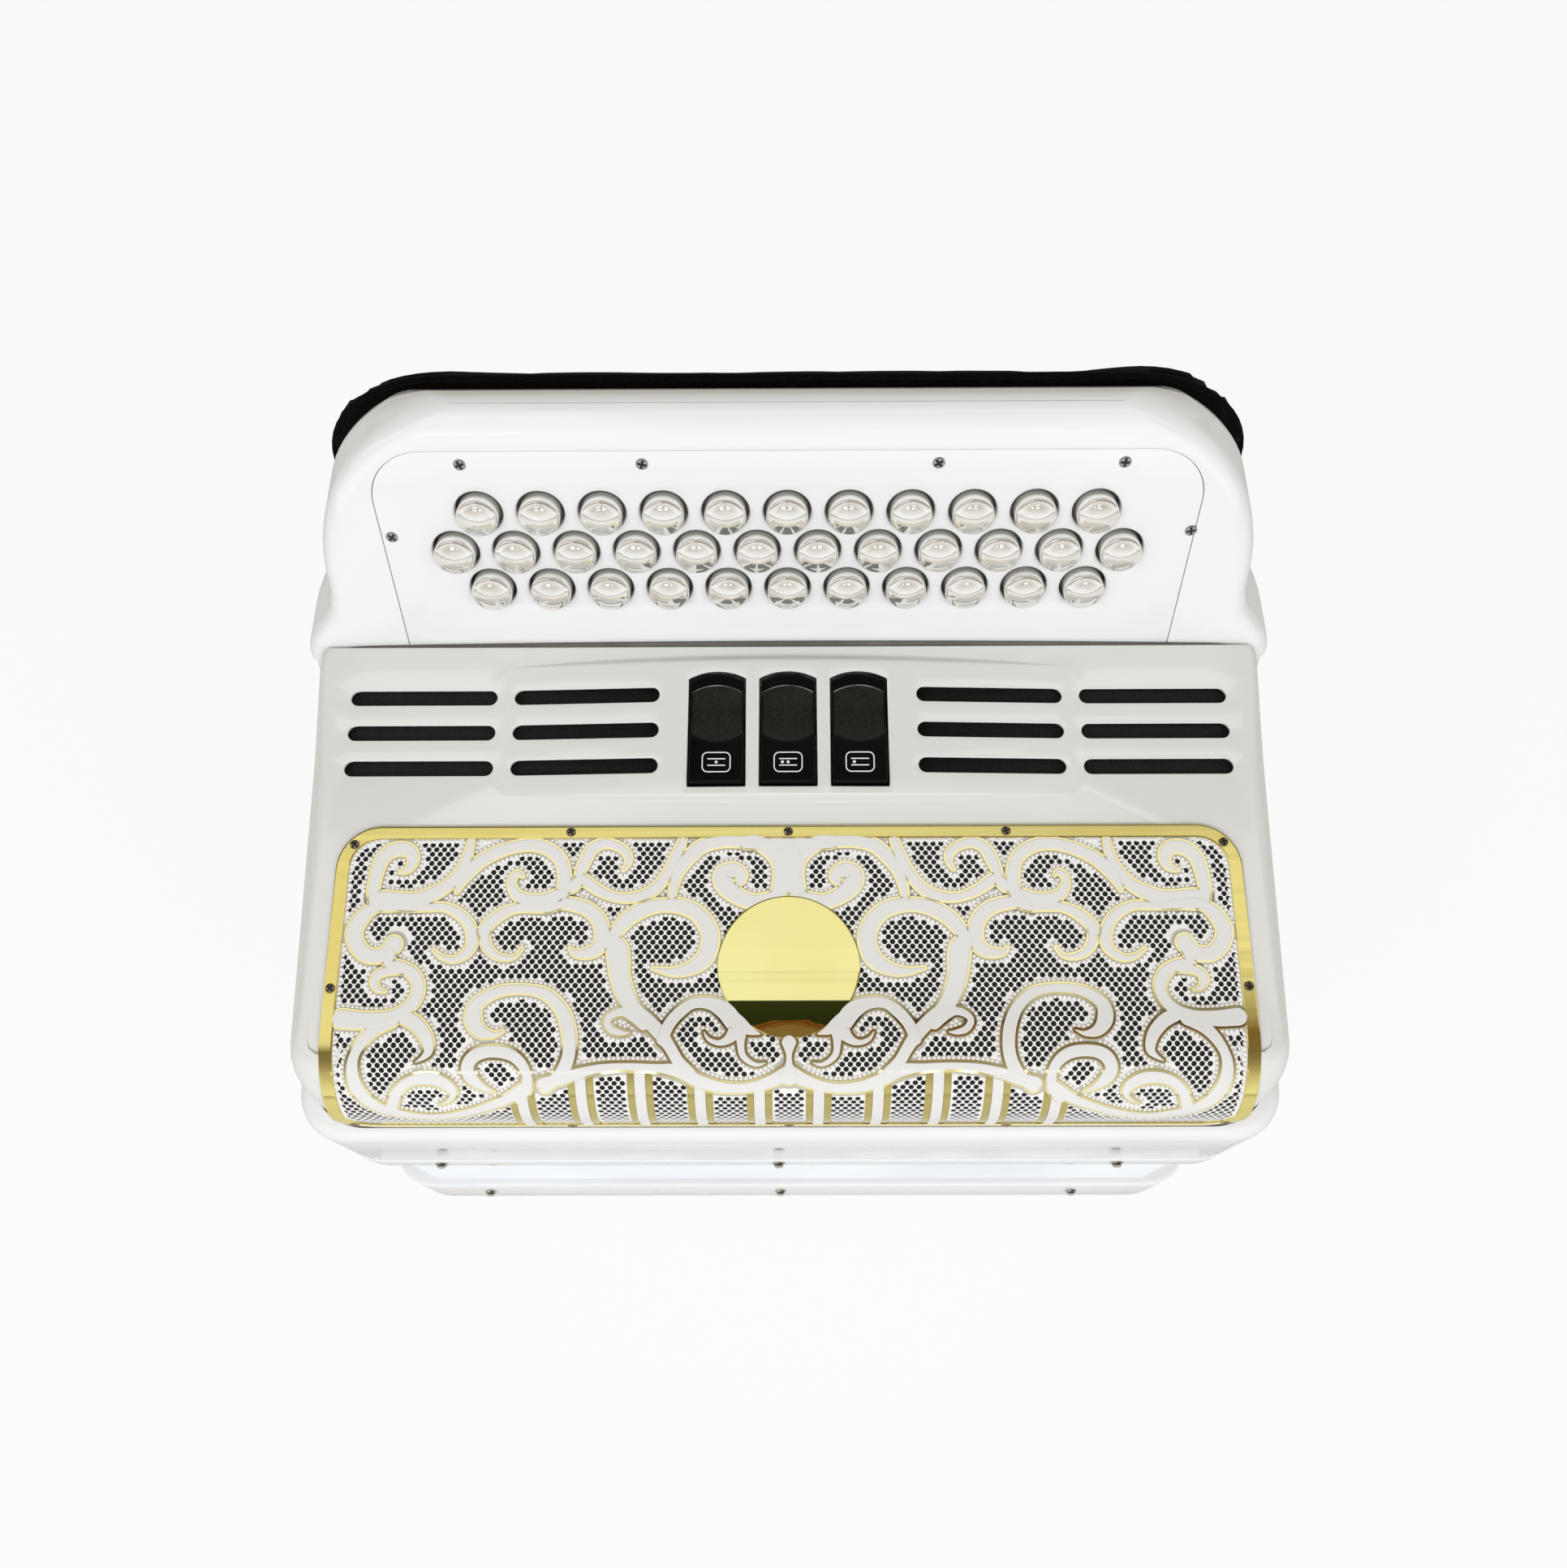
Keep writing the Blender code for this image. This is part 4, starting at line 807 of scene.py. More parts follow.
def coverRings():
    # the roll from wall to top, as rings that shrink: at each point of a ring its outward direction
    # sets the roll's radius, large in front, smaller at the sides and very small at the rear
    outer = roundedLoop(cover["halfWidth"], cover["frontY"], cover["rearY"], cover["planCorner"], cover["rearCorner"])
    after, before = np.roll(outer, -1, 0), np.roll(outer, 1, 0)
    along = after - before
    normal = np.stack([along[:, 1], -along[:, 0]], -1) / np.linalg.norm(along, axis=1)[:, None]
    frontness, rearness = np.clip(-normal[:, 1], 0, 1) ** 2, np.clip(normal[:, 1], 0, 1) ** 2
    sideness = 1 - frontness - rearness
    # the sides' roll gets smaller towards the rear, and there the rings shrink evenly along X
    ahead = smoothStep((cover["rearY"] - outer[:, 1]) / 0.045)
    sideRoll = cover["sideRoll"] * (0.42 + 0.58 * ahead)
    radius = cover["arc"] * frontness + sideRoll * sideness + cover["rearRoll"] * rearness
    evenly = 1 - smoothStep((cover["rearY"] - outer[:, 1] - 0.004) / 0.012)
    tangent = coverSlope * -normal[:, 1]
    rings = []
    for share in np.linspace(0, 1, 11):
        turn = np.pi / 2 - (np.pi / 2 - tangent) * share
        inset = radius * (1 - np.sin(turn))
        plan = outer - normal * inset[:, None]
        drawn = 0.42 * cover["sideRoll"] * (1 - math.sin(np.pi / 2 - np.pi / 2 * share))
        shrunk = outer[:, 0] * (1 - drawn / cover["halfWidth"])
        plan[:, 0] += evenly * (shrunk - plan[:, 0])
        tangentY = outer[:, 1] - normal[:, 1] * radius * (1 - np.sin(tangent))
        slopeZ = cover["rearZ"] - (cover["rearY"] - tangentY) * math.tan(coverSlope)
        z = slopeZ - radius * np.cos(tangent) + radius * np.cos(turn)
        rings.append(np.column_stack([plan, z]))
    return np.array(rings), rearness


def bossPoints():
    # points where the boss rises and falls, for the cover's face to bend there
    x, s = np.meshgrid(np.linspace(-0.0945, 0.0945, 64), np.linspace(0, 1, 27), indexing="ij")
    share = 1 - (x / boss["halfWidth"]) ** 2
    rear, front = boss["rear"] - boss["rearFlank"] * share, boss["front"] + boss["frontFlank"] * share
    knots = np.interp(s, [0, 0.3, 0.75, 1], [0, 1, 2, 3])
    along = np.where(knots < 1, boss["rear"] - rear, boss["front"] - boss["rear"])
    past = boss["front"] + (front - boss["front"]) * (knots - 2)
    d = np.where(knots > 2, past, boss["rear"] + along * (knots - 1))
    return np.stack([x.ravel(), d.ravel()], -1)


def coverPiece():
    rings, rearness = coverRings()
    top = rings[0]
    # in front its foot stands in the groove of the lip, behind it follows the sweep
    share = 1 - smoothStep((top[:, 1] + 0.010) / 0.040)
    lowest = np.maximum(cover["rimZ"], np.interp(top[:, 1], *sweepLine()) + 0.0004)
    lowest -= (cover["rimZ"] - cover["footZ"]) * share
    walls = []
    for share in np.linspace(0, 1, 9)[:-1]:
        z = lowest + (top[:, 2] - lowest) * share
        y = top[:, 1] - rearness * (top[:, 2] - z) * math.tan(boardLean)
        walls.append(np.column_stack([top[:, 0], y, z]))
    grid = np.concatenate([np.array(walls), rings])
    draw = 1 - cover["topHalfWidth"] / cover["halfWidth"]
    height = (grid[..., 2] - cover["rimZ"]) / (cover["rearZ"] - cover["rimZ"])
    # the sides lean in, and the whole narrows towards the front
    grid[..., 0] *= (1 - draw * height) * (cover["taper"][0] + cover["taper"][1] * grid[..., 1])
    edge = grid[-1]
    distance = (cover["rearY"] - edge[:, 1]) / math.cos(coverSlope)
    outline = np.stack([edge[:, 0], distance], -1)[::-1]
    lip = slots["lip"]
    holes = [grown(hole, lip) for hole in slotOutlines()]
    holes += [switchOutline(switch["gap"] + lip) + [switchX(index), switch["distance"]] for index in range(3)]
    inner = bossPoints()
    for hole in holes:
        inner = inner[~insideOutline(inner, grown(hole, 0.0004))]
    flat, triangles = filled(outline, holes, inner)
    shapes = [gridShape(grid, closeColumns=True), (onCover(*flat.T, 0.0), [triangles[:, ::-1]])]
    for hole in holes:
        rows = [(lip * math.sin(t), lip * (math.cos(t) - 1)) for t in quarter(3)]
        ring = np.array([onCover(*grown(hole, -margin).T, lift) for margin, lift in rows])
        shapes.append(turnedOver(gridShape(ring, closeColumns=True)))
    piece = addPiece("trebleCover", joined(*shapes), coverWhite, trebleBody, ("treble_cover",))
    thickened(piece, cover["wall"])


gapShadeStrip = {"half": 0.1588, "low": -0.0565, "top": -0.0510, "sag": 0.0018, "taper": 0.012}


def boardGapShade():
    # painted shade: a dark strip low in the gap between the board and the cover's rear edge, thinner at its ends, for
    # the shade down in the gap
    half, low = gapShadeStrip["half"], gapShadeStrip["low"]
    x = np.linspace(-half, half, 60)
    end = np.sqrt(np.clip((half - np.abs(x)) / gapShadeStrip["taper"], 0, 1))
    rows = [(low, 0.0002), (-0.0005, 0.0002), (0.0, 0.0005), (0.0, 0.0011), (-0.0005, 0.0014), (low, 0.0014)]
    top = gapShadeStrip["top"] - gapShadeStrip["sag"] * (x / half) ** 2
    lines = []
    for fromTop, out in rows:
        height = low + (np.maximum(top + fromTop, low) - low) * (0.35 + 0.65 * end)
        lines.append(onBoard(x, height, out * (0.3 + 0.7 * end)))
    addPiece("boardGapShade", capped(np.array(lines).transpose(1, 0, 2)), paintedGapShade, trebleBody)


def coverGrooveShade():
    # painted shade: a black cord in the groove between the lip and the foot of the cover, round its front and sides,
    # for the shade down in the groove
    loop = roundedLoop(
        cover["halfWidth"], cover["frontY"], cover["rearY"], cover["planCorner"], 0.002, corner=12, side=30, face=60)
    loop = np.roll(loop, -np.argmax(loop[:, 1] > 0), 0)
    loop = loop[loop[:, 1] < -0.002]
    loop[:, 0] *= cover["taper"][0] + cover["taper"][1] * loop[:, 1]
    cord = tube(loop, sideways(loop), (0.0003, 0.2162), (0.0006, 0.0004), 6)
    addPiece("coverGrooveShade", capped(cord), paintedShadeBlack, trebleBody)


def soundCloths():
    for name, side in (("soundClothLeft", -1), ("soundClothRight", 1)):
        x, d = np.meshgrid(np.linspace(0.039, 0.152, 12) * side, np.linspace(0.012, 0.051, 6), indexing="ij")
        grid = onCover(x, d, -cover["wall"] - 0.0009 - bossRise(x, d))
        cloth = addPiece(name, gridShape(grid), clothBlack, trebleBody)
        thickened(cloth, 0.0003)


# Register switches: a glossy tab with an arched rear, a matt thumb hollow and a raised sign

tabForm = {
    "hollowStart": 0.0046, "hollowEnd": 0.0247, "hollowDepth": 0.0017, "edge": 0.0005, "endArch": 0.0031,
    "edgeLine": 0.0004,
}
sign = {
    "place": 0.0320, "halfWidth": 0.0046, "halfHeight": 0.0034, "corner": 0.0017, "line": 0.0004, "rise": 0.00008,
    "barHalf": 0.0030, "barPlace": 0.00115, "dot": 0.00052, "dots": ((0.0,), (-0.0019, 0.0), (-0.0019,)),
}


def coverMatrix(distance, depth=0.0):
    # on the cover slope, X to the right, Y to the rear and Z out of it
    y = cover["rearY"] - distance * math.cos(coverSlope) + depth * math.sin(coverSlope)
    z = cover["rearZ"] - distance * math.sin(coverSlope) - depth * math.cos(coverSlope)
    return Matrix.Translation((0, y, z)) @ Matrix.Rotation(coverSlope, 4, "X")


def tabShape():
    # rows from the rear arch to the front: the row's line starts as the rear arch, keeps it to the
    # hollow's start, turns to the opposite arch at the hollow's end, and is straight at the front
    s, f = switch, tabForm
    half, length, edge = s["width"] / 2, s["length"], f["edge"]
    start, end = f["hollowStart"], f["hollowEnd"]
    ends = edge * (1 - np.cos(quarter(3)))
    before, within = np.linspace(0.001, start - f["edgeLine"], 3), np.linspace(start, end, 26)
    run = np.concatenate([ends, before, within, np.linspace(end, length - 0.001, 10)[1:], length - ends[::-1]])
    drop = edge * (1 - np.sin(quarter(3)))
    u = np.concatenate([-half + ends, np.linspace(-half + edge, half - edge, 15)[1:-1], half - ends[::-1]])
    drop = np.concatenate([drop, np.zeros(13), drop[::-1]])
    arches = [s["arch"], s["arch"], -f["endArch"], 0, 0]
    arch = np.interp(run, [0, start, end, end + 0.006, length], arches)[:, None] * (u / half) ** 2
    share = np.clip((run - start) / (end - start), 0, 1)
    hollow = f["hollowDepth"] * np.sin(np.pi * share ** 0.8)[:, None] ** 0.8 * (1 - 0.12 * (u / half) ** 2)
    near = np.minimum(run, length - run)[:, None]
    endDrop = edge - np.sqrt(np.maximum(edge ** 2 - np.clip(edge - near, 0, edge) ** 2, 0))
    z = s["top"] - np.maximum(drop + 0 * near, endDrop) - hollow * (drop == 0)
    face = flatSpace(u, length / 2 - run[:, None] - arch, z)
    under = face[:, [-1, 0]]
    under[..., 2] = s["top"] - s["depth"]
    return capped(np.concatenate([face, under], 1)), run, len(u)


def switchPieces():
    s, f = switch, tabForm
    shape, run, columns = tabShape()
    # faces inside the hollow are matt, and those of its start line carry the painted highlight
    first, last = run[:-1] + 1e-6, run[1:] - 1e-6
    marks = np.zeros((len(run) - 1, columns + 2), int)
    marks[(first > f["hollowStart"]) & (last < f["hollowEnd"]), 3:columns - 4] = 1
    marks[(first > f["hollowStart"] - f["edgeLine"]) & (last < f["hollowStart"]), 3:columns - 4] = 2
    marks = np.concatenate([marks.ravel(), [0, 0]])
    for index in range(3):
        node = f"register_switch_{index + 1}"
        place = Matrix.Translation((switchX(index), 0, 0)) @ coverMatrix(s["distance"], s["axle"])
        place = place @ Matrix.Rotation(-s["tilt"], 4, "X")
        tab = addPiece(
            f"switchTab{index + 1}", moved(shape, place), glossBlack, node, (node,), 40, False)
        tab.data.materials.append(mattBlack)
        tab.data.materials.append(edgeHighlightGrey)
        tab.data.polygons.foreach_set("material_index", marks.astype(np.int32))
        lines = moved(signShape(index), place @ Matrix.Translation((0, s["length"] / 2 - sign["place"], s["top"])))
        addPiece(f"switchSign{index + 1}", lines, signWhite, node)


def signShape(index):
    # a rounded frame, two lines, and dots between them: middle, left and middle, or left
    g = sign
    line = g["line"] / 2

    def printed(outline, holes=(), more=0.0):
        return platePart(outline, holes, g["rise"] + more, -0.0001, 0.00003, flatSpace)

    def frameLoop(grow):
        high = g["halfHeight"] + grow
        return evenLoop(g["halfWidth"] + grow, -high, high, g["corner"] + grow, side=2, face=2)

    shapes = [printed(frameLoop(line), [frameLoop(-line)])]
    for y in (g["barPlace"], -g["barPlace"]):
        shapes.append(printed(evenLoop(g["barHalf"], y - line, y + line, line * 0.8, corner=3, side=1, face=1)))
    return joined(*shapes, *[printed(circlePoints(x, 0, g["dot"], 16), (), 0.00002) for x in g["dots"][index]])


# Grille plate: a perforated sheet bent over the cover, with scrolls in relief. On it, x runs to the
# right and d down the cover, both in mm from the plate's middle line and from the cover's rear edge

grille = {
    "half": 147.0, "start": 64.2, "length": 111.0, "corner": 14.0, "border": 4.2, "lowBorder": 4.0,
    "sheetLift": 0.75, "sheetThick": 0.3, "borderLift": 1.35, "scrollLift": 1.42, "goldLift": 1.30,
    "bandLift": 0.92, "beadLift": 1.32, "holeRadius": 0.90, "holeClear": 2.15, "holeAcross": 2.55, "holeDown": 1.53,
    "edgeWidth": 0.72, "beadGap": 1.36, "beadPitch": 1.52, "beadRadius": 0.67,
    "discRadius": 22.6, "discPlace": 110.2, "discLift": 1.58, "overDisc": 0.22,
    "barPitch": 18.7, "barCount": 5, "barWhite": 1.75, "barGold": 2.3,
    "screws": (
        (-71.0, 66.2), (0.0, 66.2), (71.0, 66.2), (-141.5, 70.2), (141.5, 70.2), (-144.9, 117.0),
        (144.9, 117.0), (-141.5, 169.6), (-71.0, 173.2), (0.0, 173.2), (71.0, 173.2), (141.5, 169.6),
    ),
}

# The scrolls of the left half, drawn from the root to the tip: (x, d, width) at each guide point
scrolls = {
    "topHook": [
        (-133, 90, 4), (-134, 85.5, 3.4), (-133.5, 80, 3.6), (-132, 75, 4), (-128.5, 72, 4.2),
        (-124, 72, 4), (-122, 74.5, 3.4), (-122.5, 77.5, 2.4), (-124, 79, 1.4), (-126, 79.5, 0.4),
    ],
    "topBand": [
        (-133.5, 88, 3.6), (-130, 88, 4.4), (-125, 89, 5.4), (-120, 89, 5.4), (-115.5, 87, 4.4),
        (-111, 84.5, 3.6), (-107.5, 81, 3.4), (-105, 76.5, 3), (-104, 72, 2.2), (-103.5, 69, 1.4),
    ],
    "secondSweep": [
        (-107, 86, 0.8), (-106, 82.5, 3.2), (-103, 78.5, 4), (-99.5, 75.5, 3.8), (-95, 73, 3.6),
        (-89, 71, 3.4), (-83, 70.5, 3.6), (-78, 72, 3.6), (-74, 75.5, 3.6), (-72.5, 80.5, 3.6),
        (-72.5, 84.5, 3.8), (-74, 88.5, 3.8), (-77, 91, 3.4),
    ],
    "secondHook": [
        (-86, 81, 0.4), (-87, 80, 1.4), (-88.5, 80.5, 2), (-89.5, 82.5, 2), (-89, 85, 2.4),
        (-87, 87.5, 3.2), (-83, 89, 4), (-78.5, 89, 4.4), (-75, 87.5, 4),
    ],
    "secondRail": [
        (-97.5, 99, 3.6), (-96, 96.5, 3.4), (-92.5, 93.5, 3.2), (-88, 91.5, 2.6), (-83, 91, 3),
        (-77, 91, 3.2), (-74, 90, 3),
    ],
    "middleHook": [
        (-130, 90.5, 3.6), (-125, 90.5, 3), (-120.5, 91, 2.4), (-115.5, 91, 2.2), (-110.5, 91, 2.4),
        (-106, 93, 2.8), (-102.5, 96.5, 3), (-101, 101, 3.2), (-101.5, 104.5, 2.8), (-104, 107, 2.2),
        (-107, 108, 1.6), (-110.5, 107, 1), (-113, 105, 0.4),
    ],
    "middleReturn": [
        (-97, 99.5, 2.8), (-97, 101.5, 2.8), (-96, 104, 2.6), (-93.5, 106.5, 2), (-90, 107.5, 1.4),
        (-87, 107, 0.8), (-85, 104.5, 0.4),
    ],
    "leftBody": [
        (-130, 90, 3), (-134, 91.5, 3.4), (-137, 94.5, 4.4), (-139, 99, 4.8), (-137.5, 103.5, 4.6),
        (-134, 106.5, 4.4), (-129.5, 106.5, 4.4), (-127, 104.5, 5), (-126, 103, 5.2),
    ],
    "leftCrook": [
        (-127, 106, 3.6), (-127, 109.5, 2.8), (-123.5, 110, 3.2), (-119, 112.5, 3.6), (-117, 116.5, 3.6),
        (-118, 121, 3.6), (-121.5, 124.5, 3.8), (-127, 126.5, 4.2), (-134, 127, 5), (-140.5, 126.5, 5.6),
    ],
    "leftHook": [
        (-122.5, 111, 2.6), (-127.5, 111.5, 2.4), (-130.5, 113, 2.4), (-131, 115.5, 2.2),
        (-129.5, 117.5, 1.2), (-127.5, 118, 0.4),
    ],
    "cornerSweep": [
        (-124.5, 127, 4.2), (-129.5, 129.5, 4), (-133, 133, 3.4), (-135.5, 137, 3), (-136.5, 141, 3.6),
        (-136, 146.5, 4.2), (-133.5, 152, 4.4), (-128.5, 157, 4.2), (-122, 160, 3.8), (-113.5, 161.5, 3.2),
        (-104.5, 159.5, 3.2), (-95, 155.5, 3.2), (-88.5, 152, 3.6), (-83.5, 148, 3.6),
    ],
    "cornerBranch": [
        (-121.5, 125.5, 4.2), (-117, 128, 4.2), (-113.5, 132, 3.8), (-112.5, 136, 3), (-114, 138, 1.6),
        (-116.5, 139.5, 0.4),
    ],
    "cornerHook": [
        (-126, 156.5, 3.6), (-124, 151, 3.2), (-121, 147, 3.2), (-116.5, 145, 3.6), (-111, 145, 4),
        (-107, 147, 3.6), (-105.5, 150, 2.2), (-107.5, 153, 1), (-110, 154.5, 0.4),
    ],
    "lowerHook": [
        (-92.5, 149.5, 0.4), (-95.5, 148, 1.8), (-99, 145, 4), (-100.5, 141.5, 4), (-98.5, 138, 4),
        (-94, 136.5, 3.6), (-88, 137, 3.6), (-84, 139.5, 3.4), (-82, 143.5, 3), (-82.5, 148, 3.4),
        (-85, 152, 3.6),
    ],
    "greatHook": [
        (-89.5, 130.5, 0.4), (-92.5, 131.5, 1.6), (-96.5, 130.5, 3.6), (-99, 127, 5), (-98.5, 122.5, 4.2),
        (-94, 119, 3.2), (-88.5, 117.5, 2.8), (-82, 117.5, 2.6), (-76.5, 119, 3.2), (-72, 123, 3.6),
        (-69.5, 128, 4), (-68.5, 133.5, 4), (-69, 138.5, 4), (-71.5, 143.5, 4), (-76.5, 148, 3.6),
    ],
    "thirdHook": [
        (-68, 81, 2.2), (-66.5, 77, 3.2), (-64, 72, 3.2), (-60, 70, 2.8), (-55.5, 71, 2.4),
        (-52.5, 73.5, 2.2), (-52, 76.5, 1.4), (-53.5, 79, 0.4),
    ],
    "thirdBand": [
        (-70, 84.5, 3.6), (-67, 82, 3), (-65, 83, 3.2), (-60.5, 86, 2.8), (-55, 88, 2.4), (-50, 88, 2.8),
        (-45, 86.5, 3.2), (-41.5, 83.5, 3), (-38.5, 79, 3), (-36, 73.5, 3), (-34.5, 69, 2),
    ],
    "crownSweep": [
        (-37.5, 88, 1.8), (-37, 84, 2.4), (-35.5, 79, 3.6), (-32, 74.5, 4), (-28, 71, 4), (-22, 69.5, 3.6),
        (-15.5, 69.5, 3.6), (-9.5, 70, 4.8), (-4.5, 73.5, 5.2), (-2, 78, 5.6), (-2, 83.5, 5.8),
        (-3.5, 87, 4.4),
    ],
    "crownHook": [
        (-5, 88.5, 4.4), (-11, 89.5, 4.4), (-16.5, 87.5, 4.8), (-20.5, 84, 5.6), (-21, 80.5, 5.6),
        (-18, 79, 4.6), (-15.5, 80.5, 4), (-15.5, 82.5, 2.6), (-17, 84.5, 0.4),
    ],
    "thirdCrook": [
        (-73, 87, 3.4), (-75.5, 89.5, 3.2), (-70.5, 90, 3.6), (-65, 91.5, 4), (-61, 95, 4.2),
        (-59.5, 99.5, 4.4), (-60.5, 104, 4), (-64, 106, 3.2), (-68, 106, 1.8), (-69.5, 104.5, 0.4),
    ],
    "discHook": [
        (-57.5, 102.5, 2.8), (-55, 99, 3.8), (-51, 94.5, 4.4), (-45.5, 91.5, 4.4), (-40, 90.5, 3.8),
        (-34, 91, 4.4), (-29, 93.5, 4.6), (-25.5, 98.5, 5), (-25, 103, 5), (-27, 108, 4.8),
        (-31.5, 111, 3.6), (-37, 112, 2.2), (-43, 111, 0.4),
    ],
    "stem": [
        (-58, 101, 3.6), (-55, 104, 6.4), (-54, 108, 6.4), (-53.5, 113, 5.8), (-51.5, 119, 5.4),
        (-48.5, 124, 5), (-44, 127.5, 4.4), (-40, 131.5, 4.2), (-37, 135.5, 3.6), (-34.5, 139.5, 3.6),
        (-31, 143, 3.6),
    ],
    "stemHook": [
        (-50, 131, 0.4), (-52.5, 131, 1.6), (-55.5, 130, 2.2), (-57, 127.5, 2.2), (-55.5, 125.5, 2.2),
        (-52, 124.5, 2.8), (-48.5, 126, 3.6), (-45.5, 128.5, 3.6),
    ],
    "arch": [
        (-77, 146.5, 4), (-71.5, 145, 4), (-65.5, 143, 3.2), (-58.5, 141.5, 2.6), (-50, 141, 2.2),
        (-41.5, 141.5, 2.6), (-34.5, 142.5, 4.2), (-27.5, 146, 4.2), (-20.5, 148, 3.6), (-13, 148, 3.2),
        (-6, 146, 4), (0, 143, 5),
    ],
    "crownTop": [(-14, 70.2, 3.2), (-7, 70.3, 3.6), (0, 70.4, 3.8)],
    "crest": [(0, 71.5, 6), (0, 75, 9), (0, 79, 7), (0, 82.5, 8)],
    "bowtie": [(0, 134.2, 4.6), (0, 135.6, 3.2), (0, 138, 1.7), (0, 140.8, 2.6), (0, 144, 6)],
    "lyre": [
        (-39.5, 133, 3.6), (-37.5, 128.5, 3.6), (-34, 124.5, 3.6), (-30, 122, 3.2), (-25, 122, 3.8),
        (-20.5, 124, 5.4), (-17.5, 127.5, 5.6), (-16.5, 130, 5), (-19, 133, 2.8), (-22, 134, 1.6),
        (-25, 133, 1.2), (-26.5, 131, 0.4),
    ],
    "lyreTail": [
        (-20.5, 124.5, 4.2), (-17, 127, 4.6), (-14.5, 129, 4.2), (-12, 130.5, 2.6), (-9, 131.5, 0.4),
    ],
    "lyreHook": [
        (-14.5, 129, 4), (-15, 132, 3), (-15, 135, 2.2), (-14.5, 137.5, 2), (-12.5, 139.5, 1.6),
        (-10, 140.5, 1.2), (-7.5, 140, 0.4),
    ],
}


def onPlate(flat, lift):
    # points (x, d) with their lift, all in mm, taken to the frame
    flat = np.asarray(flat) / 1000
    x, d = flat[..., 0], flat[..., 1]
    return onCover(x, d, np.asarray(lift) / 1000 - bossRise(x, d))


def lengthsAlong(line):
    return np.concatenate([[0], np.cumsum(np.linalg.norm(np.diff(line[:, :2], axis=0), axis=1))])


def pointsAt(line, length, even):
    return np.stack([np.interp(even, length, column) for column in line.T], -1)


def splined(guides, spacing):
    # a Catmull-Rom curve through the guide points, at even steps along its length
    guides = np.asarray(guides, float)
    points = np.concatenate([[2 * guides[0] - guides[1]], guides, [2 * guides[-1] - guides[-2]]])
    t = np.linspace(0, len(guides) - 1, 24 * len(guides))
    start = np.minimum(t.astype(int), len(guides) - 2)
    u = (t - start)[:, None]
    a, b, c, e = (points[start + i] for i in range(4))
    curve = b + 0.5 * u * (c - a + u * (2 * a - 5 * b + 4 * c - e + u * (3 * (b - c) + e - a)))
    length = lengthsAlong(curve)
    return pointsAt(curve, length, np.linspace(0, length[-1], max(8, int(length[-1] / spacing))))


def rounded(stroke):
    # a stroke as (x, d, half width), with round ends: the half width falls as a circle's does
    body = stroke * [1, 1, 0.5]
    turn = quarter(5)[1:]
    ends = []
    for first, second in ((body[0], body[1]), (body[-1], body[-2])):
        along = (first - second)[:2] / np.linalg.norm((first - second)[:2])
        place = first[:2] + first[2] * np.sin(turn)[:, None] * along
        ends.append(np.column_stack([place, np.maximum(first[2] * np.cos(turn), 0.001)]))
    return np.concatenate([ends[0][::-1], body, ends[1]])


def sideways(line, closed=False):
    # unit normals of a line, to the right of its direction
    if closed:
        along = np.roll(line, -1, 0) - np.roll(line, 1, 0)
    else:
        along = np.gradient(line, axis=0)
    along /= np.maximum(np.linalg.norm(along, axis=1), 1e-6)[:, None]
    return np.stack([along[:, 1], -along[:, 0]], -1)


def offAxis(stroke):
    return np.abs(stroke[:, 0]).max() > 4


def mirroredStrokes():
    drawn = [rounded(splined(guides, 0.8)) for guides in scrolls.values()]
    return drawn + [stroke * [-1, 1, 1] for stroke in drawn if offAxis(stroke)]


def clearance(points, strokes):
    # the distance from each point to the nearest stroke's edge, negative inside a stroke
    nearest = np.full(len(points), 1e3)
    for stroke in strokes:
        reach = stroke[:, 2].max() + 4
        low, high = stroke[:, :2].min(0) - reach, stroke[:, :2].max(0) + reach
        near = np.flatnonzero(((points > low) & (points < high)).all(1))
        if len(near):
            gap = np.linalg.norm(points[near, None] - stroke[None, :, :2], axis=2) - stroke[:, 2]
            nearest[near] = np.minimum(nearest[near], gap.min(1))
    return nearest


def strokeLoop(stroke):
    # the closed outline of a stroke and its outward normals
    side = sideways(stroke[:, :2])
    right, left = stroke[:, :2] + side * stroke[:, 2:], stroke[:, :2] - side * stroke[:, 2:]
    loop = np.concatenate([right, left[1:-1][::-1]])
    return loop, sideways(loop, True)


def ridge(loop, normal, rows):
    # a band along a closed line: rows of (distance out from the line, lift), closed into a tube
    out, lift = np.array(rows).T
    flat = loop[:, None] + normal[:, None] * out[None, :, None]
    return gridShape(onPlate(flat, lift), closeRows=True, closeColumns=True)


def scrollTop(stroke, lift):
    # the white face of a stroke: across it, a steep edge, a rounded shoulder and a level top
    side, half = sideways(stroke[:, :2]), stroke[:, 2:]
    low = grille["sheetLift"]
    shoulders = ((0.0, low), (0.0, lift - 0.18), (0.07, lift - 0.06), (0.22, lift), (0.40, lift), (2.0, lift))
    rows = [(np.maximum(half - inset, half * 0.02 * (inset > 1)), height) for inset, height in shoulders]
    rows += [(-place, height) for place, height in rows[::-1]]
    flat = np.stack([stroke[:, :2] + side * place for place, _ in rows], 1)
    return gridShape(onPlate(flat, [height for _, height in rows]), closeColumns=True)


def archLine(x):
    # how far down the plate the rail over the bars lies
    rail = np.concatenate([np.array(scrolls["cornerSweep"])[-6:], np.array(scrolls["arch"])])
    rail = rail[np.argsort(rail[:, 0])]
    return np.interp(-np.abs(x), rail[:, 0], rail[:, 1])


def plateLoop(inset, lowInset, radius):
    # the plate's outline in mm, as (x, d)
    half = grille["length"] / 2
    loop = evenLoop(grille["half"] - inset, inset - half, half - lowInset, radius, corner=10, side=60, face=90)
    return loop + [0, grille["start"] + half]


def offDisc(places, margin):
    return np.hypot(places[:, 0], places[:, 1] - grille["discPlace"]) > grille["discRadius"] + margin


